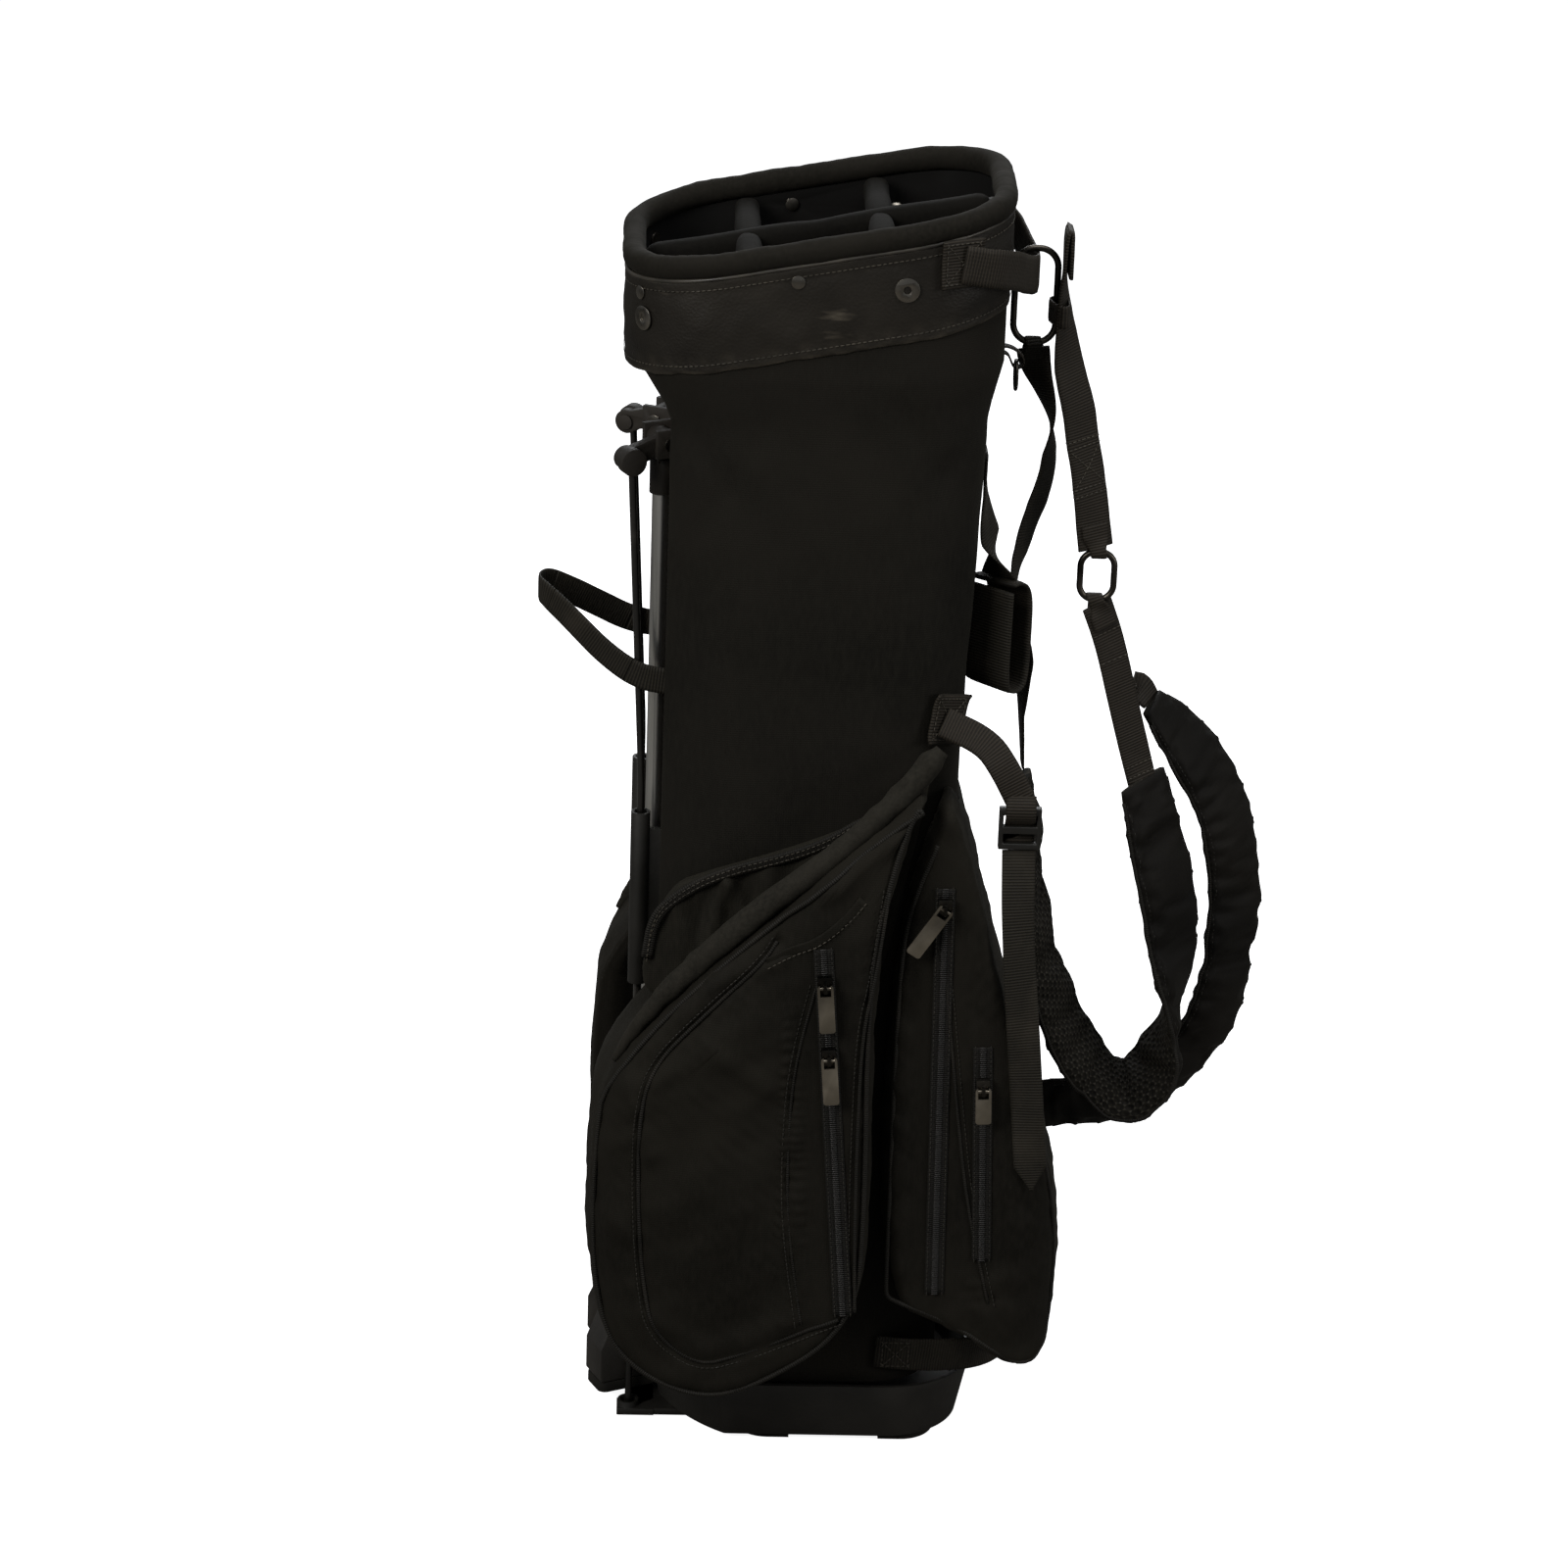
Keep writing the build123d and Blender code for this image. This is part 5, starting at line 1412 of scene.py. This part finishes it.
def ring_loop(name, wire_at, end, wide, face, away, width, gap, reach=17.0):
    """A turn of narrow webbing, gathered round a ring's wire and sewn to both faces of a strap.
    away points from the wire along the strap, and gap is from the strap's middle to the turn's."""
    wire_at, end, away = np.array(wire_at, float), np.array(end), unit(np.array(away, float))
    face = face if face[1] > 0 else -face

    def beside(share, more, hand):
        return end + away * reach * share + hand * face * (gap + more)

    shares = ((1.0, 0.0), (0.55, 0.1), (0.2, 0.3))
    near_wire = [wire_at + away * 0.8 + Y_WAY * 3.9, wire_at - away * 2.9 + Y_WAY * 3.3]
    turned = [p - 2 * Y_WAY * (p - wire_at)[1] for p in near_wire[::-1]]
    path = soft_path([beside(*share, 1) for share in shares] + near_wire
                     + [wire_at - away * 4.7] + turned
                     + [beside(*share, -1) for share in shares[::-1]], 1.0)
    across = np.array([wide, wide, (1.0, 0, 0), (1.0, 0, 0), (1.0, 0, 0), wide, wide])
    at = np.linspace(-1, 1, len(path))
    gathered = 10.5 / width
    scale = np.column_stack([gathered + (1 - gathered) * ease((np.abs(at) - 0.25) / 0.5),
                             np.ones(len(path))])
    return swept(name, path, across, tape_section(width, 1.6, 9), False, scale)


def strap_upper():
    """The strap from the top ring down to the strap ring, with a keeper round its fold."""
    points = [(164.2, -6, 818), (164.5, -6, 846), (162.7, -6, 851.6), (160.9, -6, 846),
              (160.9, -6, 782), (179.9, -6, 704), (190.9, -6, 631.5)]
    # the webbing turns a little so that its face looks forwards
    across = np.array([(0, 1, 0), (0, 1, 0), (0.1, 1, 0), (0.5, 1, 0), (0.9, 0.75, 0.2),
                       (1, 0.6, 0.25), (1, 0.6, 0.25), (1, 0.5, 0.2), (1, 0.4, 0.1)])
    path = hanging_strap("strap_upper_webbing", points, across, 25, 3.0, ["strap_webbing_upper"],
                         old_webbing)
    tangent, wide, face = frames(path, across)
    keeper = [(164.6, -6), (164.4, -16), (161, -20.6), (157, -17), (152.6, -3), (152.3, 1.5),
              (154.6, 5), (160.5, 8.8), (164.4, 5)]
    held = soft_path([(x, y, 793) for x, y in keeper], 1.5, True)
    parts = [swept("keeper", held, Z_WAY, tape_section(15, 1.6, 9), True),
             ring_loop("upper_turn", (192.9, -6, 628.8), path[-1], wide[-1], face[-1],
                       -tangent[-1], 19, 2.6)]
    finish(joined("strap_upper_turns", parts), old_webbing)
    cross_lines(path, wide, face, (0.70, 0.72, 0.83, 0.85), 11, 9, 1.6)
    # a sewn cross between those lines
    first, last, reach = 0.73, 0.82, 10
    for start in (-reach, reach):
        for hand in (1, -1):
            line = []
            for t in np.linspace(0, 1, 20):
                k = int((first + t * (last - first)) * len(path))
                line.append(path[k] + wide[k] * (start - 2 * start * t))
            sew("pale", np.array(line), face[k] * hand, 1.6)


def strap_lower():
    """From the lower ring down to the inner pad, and the yoke piece across to the outer pad."""
    points = [(193.9, -6, 592), (203.9, -6, 566), (216, -6, 520), (230.5, -6, 468.4),
              (233.5, -8, 459)]
    across = np.array([(1, 0.4, 0.1), (1, 0.5, 0.3), (1, 0.5, 0.3), (1, 0.5, 0.3), (1, 0.6, 0.3)])
    path = soft_path(points, 2.5)
    tangent, wide, face = frames(path, across)
    yoke = [(219.3, -3, 510), (219.6, 6, 510.5), (220.2, 20, 511), (221, 40, 512),
            (229, 46, 517.5), (239.6, 44, 505.3)]
    up = np.array([(0.25, 0, 1.0), (0.3, 0, 1.0), (0.9, 0.2, 0.8), (0.6, 0.8, 0.2)])
    parts = [swept("lower", path, across, tape_section(22, 2.6, 11)),
             ring_loop("lower_turn", (192.9, -6, 595.2), path[0], wide[0], face[0], tangent[0],
                       17, 2.4),
             swept("yoke", soft_path(yoke, 2.5), up, tape_section(20, 2.4, 9))]
    finish(joined("strap_lower_webbing", parts), old_webbing,
           replaces=["strap_webbing_lower"])
    cross_lines(path, wide, face, (0.16, 0.3, 0.84, 0.9), 9, 7, 1.4)


def strap_rear():
    """The strap behind, from the tab under the cuff down to the inner pad's other end."""
    points = [(143, 1, 766.4), (146, 7.5, 750), (160, 10, 716), (157, 10, 672), (142, 10, 624),
              (139, 10, 592), (149, 10, 560), (148, 10, 520), (151, 10, 470.4)]
    across = np.array([(1, 0, 0), (0.6, -1, 0), (-0.5, -1, 0), (-0.9, -1, 0), (-0.6, -1, 0),
                       (0.2, -1, 0), (0.6, -1, 0), (0.1, -1, 0), (0, -1, 0)])
    path = hanging_strap("strap_rear_webbing", points, across, 22, 2.0, ["strap_webbing_rear"],
                         webbing)
    tangent, wide, face = frames(path, across)
    turn = ring_loop("rear_turn", (143, 0, 770.4), path[0], wide[0], face[0], tangent[0], 15, 2.1,
                     8.0)
    finish(turn, webbing)


def inflated(piece, held):
    """Lets air pressure fill a closed skin whose seam points (held, 0 to 1) stay where they are
    sewn. This puckers the cloth along the seams, as the foam inside does."""
    pressure, last_frame = 4.0, 20
    shrink, farthest = 0.6 * MM, 7.0 * MM
    mesh = piece.data
    start = spots_of(mesh)
    outwards(piece)
    free = (1 - held)[:, None]
    move_spots(mesh, start - point_normals(mesh) * shrink * free)
    group = piece.vertex_groups.new(name="held")
    for k in np.nonzero(held > 0.01)[0]:
        group.add([int(k)], float(held[k]), "REPLACE")
    change = piece.modifiers.new("cloth", "CLOTH")
    cloth = change.settings
    cloth.quality = 6
    cloth.mass = 0.25
    cloth.tension_stiffness = cloth.compression_stiffness = 12
    cloth.shear_stiffness = 4
    cloth.bending_stiffness = 0.12
    cloth.use_pressure = True
    cloth.uniform_pressure_force = pressure
    cloth.shrink_min = -0.045
    cloth.effector_weights.gravity = 0.0
    cloth.vertex_group_mass = "held"
    cloth.pin_stiffness = 2.0
    change.collision_settings.use_collision = False
    change.point_cache.frame_start = 1
    change.point_cache.frame_end = last_frame
    scene = bpy.context.scene
    for number in range(1, last_frame + 1):
        scene.frame_set(number)
    ready = piece.evaluated_get(bpy.context.evaluated_depsgraph_get())
    move = spots_of(ready.data) - start
    piece.modifiers.clear()
    scene.frame_set(1)
    size = np.linalg.norm(move, axis=1, keepdims=True)
    move *= np.minimum(1, farthest / np.maximum(size, 1e-9))
    move_spots(mesh, start + move)
    piece.vertex_groups.clear()


def pad_axes(path, rolls):
    """Tangent, width direction and face direction along a pad that rolls about its path."""
    at = np.linspace(0, 1, len(path))
    angle = smoothed(np.radians(np.interp(at, [r[0] for r in rolls], [r[1] for r in rolls])), 7)
    tangent = unit(np.gradient(path, axis=0))
    level = unit(Y_WAY - (tangent @ Y_WAY)[:, None] * tangent)
    face = unit(np.cross(tangent, level))
    across = level * np.cos(angle)[:, None] + face * np.sin(angle)[:, None]
    return tangent, across, unit(np.cross(tangent, across))


def pad_size(at, creases, ends):
    """A pad's width and thickness along its length, as shares of the full ones."""
    wide = np.interp(at, [0, 0.05, 0.12, 0.88, 0.95, 1], [ends[0], 0.82, 1, 1, 0.85, ends[1]])
    thick = np.interp(at, [0, 0.06, 0.94, 1], [0.5, 1.0, 1.0, 0.5])
    for share, depth, length in creases:
        dip = np.exp(-((at - share) / length) ** 2)
        thick *= 1 - depth * dip
        wide *= 1 - 0.12 * dip
    return wide, thick


def shoulder_pad(name, node, points, rolls, width, wall, mesh_side, seed, creases, ends):
    """Foam between spacer mesh and smooth cloth, bound round its edge. It curls where it bends.
    rolls are (share of the length, turn in degrees), creases are (share of the length, depth,
    length), and ends are the shares of the width left at its two ends."""
    path = soft_path(points, 2.6)
    count, around = len(path), 40
    at = np.linspace(0, 1, count)
    run = at * line_length(path)
    tangent, across, face = pad_axes(path, rolls)
    bend = np.abs(np.gradient(np.unwrap(np.arctan2(tangent[:, 2], tangent[:, 0])), run))
    tight = np.clip(smoothed(bend, 10) / 0.012, 0, 1)
    # the section is a flat lens whose edges pinch to the bound seam
    t = np.linspace(0, 2 * pi, around, endpoint=False)
    wide = np.sign(np.cos(t)) * np.abs(np.cos(t)) ** 0.62
    tall = np.sign(np.sin(t)) * np.abs(np.sin(t)) ** 0.75
    share_w, share_t = pad_size(at, creases, ends)
    half_w, half_t = width / 2 * share_w, wall / 2 * share_t
    grid = (path[:, None] + across[:, None] * (half_w[:, None] * wide)[..., None]
            + face[:, None] * (half_t[:, None] * tall)[..., None])
    out = unit(across[:, None] * (wide / width * 0.4)[None, :, None]
               + face[:, None] * (tall / wall)[None, :, None])
    # puckers along the bound edges, broad waves, and folds on the mesh side of a bend
    edge = np.abs(wide)[None, :] * np.ones((count, 1))
    ruche = np.sin(run[:, None] / 2.6 + 2.2 * np.sin(run[:, None] / 19 + seed)
                   + 0.8 * np.sign(wide)[None])
    push = 0.45 * ruche * edge ** 3 * (0.25 + 0.75 * tight[:, None])
    push += 0.8 * ripple(grid.reshape(-1, 3), 46, seed, 3).reshape(count, around)
    inner = (tall * mesh_side > 0)[None] * np.ones((count, 1))
    folds = np.sin(run[:, None] / 4.2 + 1.5 * np.sin(run[:, None] / 31)) * (1 - edge ** 4)
    push += 1.1 * folds * tight[:, None] * inner
    grid = grid + push[..., None] * out
    mesh_part = np.clip((tall * mesh_side + 0.28) / 0.1, 0, 1)[None] * np.ones((count, 1))
    piece = grid_piece(name, grid, True, (True, True), mesh_part)
    # the seams, the creases and both ends are held while the rest fills with air
    held = (edge > 0.96) * 1.0
    for share, _, length in creases:
        held = np.maximum(held, 0.8 * np.exp(-((at - share) / (0.4 * length)) ** 2)[:, None])
    held[:3] = held[-3:] = 1
    inflated(piece, np.r_[held.reshape(-1), 1, 1])
    grid = (spots_of(piece.data)[:count * around] / MM).reshape(grid.shape)
    finish(piece, pad_mesh, replaces=[node])
    cords = []
    inner_part = slice(3, -3)
    for hand, column, lift in ((1, 0, -0.1), (-1, around // 2, -0.35)):
        cords.append(swept("cord", grid[inner_part, column], face[inner_part], oval(2.8, 2.8, 8)))
        beside = (column - 3 * mesh_side * hand) % around
        sew("dark", grid[inner_part, beside], out[inner_part, beside], lift)
    finish(joined(name + "_binding", cords), binding)


def pads():
    """The two padded parts of the shoulder straps, which hang in a curve beside the bag."""
    shoulder_pad("shoulder_pad_inner_cushion", "shoulder_pad_inner",
                 [(151, -10, 470), (160, -11, 366), (186, -13, 282), (229, -14, 228),
                  (259, -13, 262), (262, -12, 353), (231, -10, 468)],
                 [(0, 14), (0.25, 20), (0.45, 30), (0.58, 26), (0.66, -8), (0.76, -40), (1, -46)],
                 54, 14, 1, 201, [(0.27, 0.35, 0.018), (0.47, 0.2, 0.02), (0.625, 0.4, 0.018)],
                 (0.5, 0.8))
    shoulder_pad("shoulder_pad_outer_cushion", "shoulder_pad_outer",
                 [(240, 41, 505), (283, 43, 455), (306, 44, 391), (305, 43, 300),
                  (286, 40, 246), (238, 37, 211), (178, 35, 203)],
                 [(0, 34), (0.3, 44), (0.6, 50), (0.8, 62), (1, 72)],
                 50, 14, -1, 202, [(0.52, 0.2, 0.02), (0.7, 0.3, 0.02)], (0.5, 0.9))


def lower_anchor():
    """A patch on the tube's corner, and the strap from it to the buckle."""
    spot, level, out = corner_spot(*TUBE, 44, 536)
    tilt = radians(-14)
    right = level * cos(tilt) + Z_WAY * sin(tilt)
    up = Z_WAY * cos(tilt) - level * sin(tilt)
    centre = spot + out * 3.4
    patch = flat_patch(centre, right, up, 32, 34, 1.8, 3.0)
    box_stitch(centre, right, up, 26, 28, 1.2)
    points = [tuple(spot + out * 5.2 - level * 6), (118, -97, 527), (130, -105, 512),
              (142, -106, 488.8)]
    across = np.array([(0.45, 0.3, 0.85), (0.7, 0.3, 0.6), (0.9, 0.2, 0.3), (1, 0, 0.1)])
    band = swept("anchor_band", soft_path(points, 2.0), across, tape_section(20, 2.4, 9))
    through = [(142, -106, 493), (142, -110.6, 486), (142, -110.6, 479), (142, -106, 473.5),
               (142, -101.6, 470), (142, -101.6, 464), (142, -103, 458)]
    turn_back = swept("through", soft_path(through, 1.2), X_WAY, tape_section(20, 1.8, 9))
    finish(joined("lower_anchor_webbing", [patch, band, turn_back]), old_webbing,
           replaces=["lower_anchor"])


def strap_tail():
    """The strap's loose end below the buckle, cut to a point."""
    points = [(142, -106, 454.9), (143, -121, 400), (152, -124, 310), (161, -124, 214)]
    path = soft_path(points, 2.5)
    count = len(path)
    across = np.array([(1, 0, 0.1), (1, 0.25, 0.1), (1, 0.1, 0.1), (1, -0.25, 0.1), (1, 0.0, 0.1)])
    at = np.linspace(0, 1, count)
    scale = np.column_stack([np.clip((1 - at) / 0.075, 0.12, 1), np.ones(count)])
    piece = swept("strap_tail_webbing", path, across, tape_section(22, 2.0, 11), False, scale)
    finish(piece, webbing, "strap_tail", ["strap_tail"])


def grab_handle():
    """A wide loop of webbing for lifting the bag, with a sewn flap above it."""
    turn = radians(48)
    middle = np.array([127.5, -27.0, 0])
    deep, wide = np.array([cos(turn), sin(turn), 0]), np.array([sin(turn), -cos(turn), 0])
    loop = [(-10, 612), (-11, 580), (-11, 552), (-9, 543), (0, 541), (8, 543), (11, 556),
            (11.5, 590), (10, 606), (5, 614.5), (-2, 616.5), (-8, 616)]
    path = soft_path([middle + deep * a + (0, 0, z) for a, z in loop], 2.5)
    bow_out = np.clip(1.2 * ripple(path, 60, 301), -1.0, 1.0) * 0.6
    path = path + bow_out[:, None] * deep
    lean = np.array([wide + (0, 0, 0.10), wide - (0, 0, 0.06), wide + (0, 0, 0.04)])
    flap = [(113.5, -26.5, 704), (114.6, -26.5, 660), (124, -26.5, 628), (126, -26.5, 616)]
    parts = [swept("loop", path, lean, tape_section(37, 3.0, 13)),
             swept("flap", soft_path(flap), np.array([(0, 1, 0), (0.1, 1, 0), (0.5, 1, 0), -wide]),
                   tape_section(30, 2.4, 11))]
    finish(joined("grab_handle_webbing", parts), webbing, replaces=["grab_handle"])


def base_handle():
    """A low loop of webbing round the foot, sewn to the tube at both ends."""
    line = soft_path(mirrored([(62, -93.4, 74), (92, -95.4, 72), (140, -74, 64), (163, -22, 56)]))
    piece = swept("base_handle_webbing", line, Z_WAY, tape_section(24, 2.2, 11))
    finish(piece, webbing, replaces=["base_handle"])
    for side in (1, -1):
        box_stitch((76, -95.2 * side, 73), (1.0 * side, 0, 0), (0, 0, 1.0), 18, 18, 1.0)


def leg_strap():
    """A loose loop round both legs, made in parts: from each wall to its leg, from each leg to the
    tip, and the tip.
    """
    half = [(-84, -57, 548), (-118, -53, 552), (-170, -20, 592), (-180, 0, 594)]
    path = soft_path(half + [(x, -y, z) for x, y, z in reversed(half[:-1])], 2.0)
    count = len(path)
    path[:, 2] += 0.8 * ripple(path, 70, 401) * np.sin(np.linspace(0, pi, count))
    _, wide, face = frames(path, Z_WAY)
    section = tape_section(18, 2.0, 9)

    def part(name, low, high):
        run = slice(low, high)
        grid = (path[run][:, None] + wide[run][:, None] * section[None, :, :1]
                + face[run][:, None] * section[None, :, 1:])
        return grid_piece(name, grid, True, (True, True))

    def point_nearest(x):
        return int(np.argmin(np.abs(path[:count // 2, 0] - x)))

    leg, tip = point_nearest(-116), point_nearest(-168)
    for tag, body in (("near", "leg_right"), ("far", "leg_left")):
        for number, (low, high, first, last) in enumerate(((0, leg, "bag", body),
                                                           (leg, tip, body, "bag"))):
            near = tag == "near"
            run = (low, high + 1) if near else (count - high - 1, count - low)
            piece = part("leg_strap_%s_%d" % (tag, number), *run)
            finish(piece, webbing, None)
            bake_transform(piece)
    finish(part("leg_strap_tip", tip, count - tip), webbing, "bag", ["leg_strap"])


# ---------------------------------------------------------------- hard parts

def eased(node, size, material, body="bag"):
    """The frame's own part with its sharp edges eased by `size`, as moulding, casting or tumbling
    does."""
    eased_angle, sharp_angle = radians(24), radians(38)
    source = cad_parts[node]
    mesh = source.data.copy()
    mesh.transform(source.matrix_world)
    piece = linked(node + "_finished", mesh)

    def clear_flats(work):
        bmesh.ops.remove_doubles(work, verts=work.verts, dist=1e-6)
        bmesh.ops.dissolve_limit(work, angle_limit=radians(1.0), verts=work.verts,
                                 edges=work.edges)

    def keep_sharp(work):
        for edge in work.edges:
            if len(edge.link_faces) == 2 and edge.calc_face_angle(0) > sharp_angle:
                edge.smooth = False

    edited(mesh, clear_flats)
    if size:
        change = piece.modifiers.new("ease", "BEVEL")
        change.width = size * MM
        change.segments = 2
        change.limit_method = "ANGLE"
        change.angle_limit = eased_angle
        change.harden_normals = False
        applied(piece)
    finish(piece, material, body, [node])
    edited(piece.data, keep_sharp)


def hard_parts():
    """Every rigid part of the frame in its real finish, the collar ring darkened with painted
    shade.
    """
    eased("base_cup", 1.2, black_plastic)
    eased("base_tread", 0.8, rubber)
    eased("collar_ring", 0.4, collar_plastic_painted_shade)
    eased("divider_frame", 0.4, black_plastic)
    eased("hub_bracket", 0.7, grey_plastic)
    eased("rod_guides", 0.4, black_plastic)
    eased("strap_buckle", 0.7, buckle_plastic)
    eased("spine_stays", 0.3, fibre)
    eased("heel_plate", 0.7, black_plastic, "heel_plate")
    for node in ("heel_hinge_pin", "hub_screws", "leg_pivot_pins"):
        eased(node, 0.3, fixing_steel)
    for node in ("collar_bolts", "collar_rivets"):
        eased(node, 0.35, fixing_steel)
    for node in ("top_ring", "strap_ring"):
        eased(node, 0, nickel)
    eased("tag_ring", 0, nickel, "tag_ring")
    for side in ("left", "right"):
        leg, rod = "leg_" + side, "rod_" + side
        eased("leg_tube_" + side, 0, aluminium, leg)
        eased("leg_head_" + side, 0.8, grey_plastic, leg)
        eased("leg_foot_" + side, 1.2, boot_plastic, leg)
        eased("foot_sole_" + side, 0.9, rubber, leg)
        eased("actuator_rod_" + side, 0, enamel, rod)
        eased("rod_end_" + side, 0.9, grey_plastic, rod)
    for name in ("pocket_upper", "pocket_lower", "ball", "accessory"):
        slider, pull = name + "_slider", name + "_pull"
        eased(slider, 0.6, nickel, slider)
        eased(pull, 0.35, zinc, pull)


def inner_washers():
    """The bolt ends inside the collar, on the side walls and the leg-side corners."""
    below_rim = 40
    _, depth, corner, _ = CUFF
    half, radius = depth / 2 - 9.15, corner - 9.15     # of the collar's inside
    spots, outs = [], []
    for side in (1, -1):
        turn = radians(36)
        nx, ny = -cos(turn), -sin(turn) * side
        spots += [(54.0, -half * side), (-56 + radius * nx, -30 * side + radius * ny)]
        outs += [(0, side, 0), (-nx, -ny, 0)]
    washer = stamp_shape("washer_stamp", [(2.2, 0), (6.4, 0), (6.4, 0.9), (4.4, 1.3), (3.8, 2.3),
                                          (1.2, 2.6)], 24)
    rows = [(at_slope(np.array(spots), below_rim), np.array(outs, float),
             np.array([(0, 0, 1.0)] * len(spots)))]
    stamped("inner_washers", on_points, washer, fixing_steel, rows)
    bpy.data.objects.remove(washer)


def thread_and_coils():
    """Every row of stitches and zip teeth noted so far."""
    stitch = stamp_shape("stitch_stamp", [(0.12, 0.0), (0.34, 0.05), (0.42, 0.18), (0.3, 0.36),
                                          (0.1, 0.42)], 8, (3.6, 1, 1))
    tooth = stamp_shape("tooth_stamp", [(0.2, 0.0), (0.52, 0.1), (0.6, 0.6), (0.45, 1.1),
                                        (0.15, 1.3)], 10, (1, 4.2, 1))
    for name, kind, stamp, material, pitch, spread in (
            ("pale_stitches", "pale", stitch, pale_thread, 3.6, 0.12),
            ("dark_stitches", "dark", stitch, dark_thread, 3.4, 0.12),
            ("zip_coil_teeth", "coil", tooth, coil, 1.5, 0.03)):
        stamped(name, along_path, stamp, material, thread_rows[kind], pitch, spread)
    for stamp in (stitch, tooth):
        bpy.data.objects.remove(stamp)


# ---------------------------------------------------------------- floor, lights and camera

def paper_floor():
    """A paper floor, grey for bounced light and plain white to the camera."""
    floor = bpy.data.meshes.new("floor")
    floor.from_pydata([(-9, -6, 0), (9, -6, 0), (9, 14, 0), (-9, 14, 0)], [], [(0, 1, 2, 3)])
    ground = linked("floor", floor)
    ground.location.z = -0.0005
    made, tree, shader = new_finish("white_paper", 0.9, Specular_IOR_Level=0.0,
                                    Base_Color="#75736f")
    seen = add(tree, "ShaderNodeLightPath").outputs["Is Camera Ray"]
    bright = add(tree, "ShaderNodeBsdfDiffuse", {"Color": (1.0, 1.0, 1.0, 1.0)})
    glow = add(tree, "ShaderNodeEmission", {"Strength": 0.9})
    lifted = add(tree, "ShaderNodeAddShader", {0: bright.outputs[0], 1: glow.outputs[0]})
    both = add(tree, "ShaderNodeMixShader",
               {0: seen, 1: shader.outputs[0], 2: lifted.outputs[0]})
    tree.links.new(both.outputs[0], tree.nodes["Material Output"].inputs["Surface"])
    floor.materials.append(made)


def room():
    """Grey walls for the light and the reflections, and white ones for the camera."""
    world = bpy.data.worlds.new("room")
    world.use_nodes = True
    tree = world.node_tree
    back = tree.nodes["Background"]
    back.inputs["Strength"].default_value = 1.0
    path = add(tree, "ShaderNodeLightPath").outputs
    walls = between(tree, path["Is Glossy Ray"], 0.0, 1.0, "#4b4e51", "#7c7f82")
    tree.links.new(between(tree, path["Is Camera Ray"], 0.0, 1.0, walls, "#ffffff"),
                   back.inputs["Color"])
    bpy.context.scene.world = world


def lamps():
    """Soft lights from four sides. Places and sizes in metres, power in watts."""
    middle = Vector((0.04, 0, 0.42))
    for name, where, size, power, tint in (
            ("window", (-1.7, -2.0, 2.2), 1.3, 54, (1.0, 0.97, 0.93)),
            ("overhead", (0.4, -0.3, 2.8), 1.6, 28, (1.0, 1.0, 1.0)),
            ("strap_side", (2.3, -1.2, 1.2), 0.9, 16, (1.0, 0.97, 0.94)),
            ("behind", (0.2, 2.2, 1.9), 1.4, 26, (0.96, 0.98, 1.0))):
        light = bpy.data.lights.new(name, "AREA")
        light.size = size
        light.energy = power
        light.color = tint
        lamp = linked(name, light)
        lamp.location = where
        aim = middle - Vector(where)
        lamp.rotation_euler = aim.to_track_quat("-Z", "Y").to_euler()


def camera():
    """The view from the front and a little above."""
    seen = bpy.data.cameras.new("camera")
    seen.lens = 112.8
    seen.sensor_width = 36.0
    eye = linked("camera", seen)
    right = Vector((0.99934, -0.01920, 0.03079))
    up = Vector((-0.02144, 0.37190, 0.92803))
    ahead = Vector((0.02927, 0.92807, -0.37124))
    eye.matrix_world = Matrix.Translation((-0.1078, -3.0861, 1.690)) @ Matrix(
        (right, up, -ahead)).transposed().to_4x4()
    bpy.context.scene.camera = eye


body_tube()
cuff_band()
cuff_welt()
rim_padding()
dividers()
side_pocket(1)
side_pocket(-1)
gussets()
mouth_rolls()
ball_pocket()
zips()
upper_anchors()
strap_upper()
strap_lower()
strap_rear()
pads()
lower_anchor()
strap_tail()
grab_handle()
base_handle()
leg_strap()
hard_parts()
inner_washers()
thread_and_coils()
paper_floor()
room()
lamps()
camera()

bpy.context.view_layer.update()
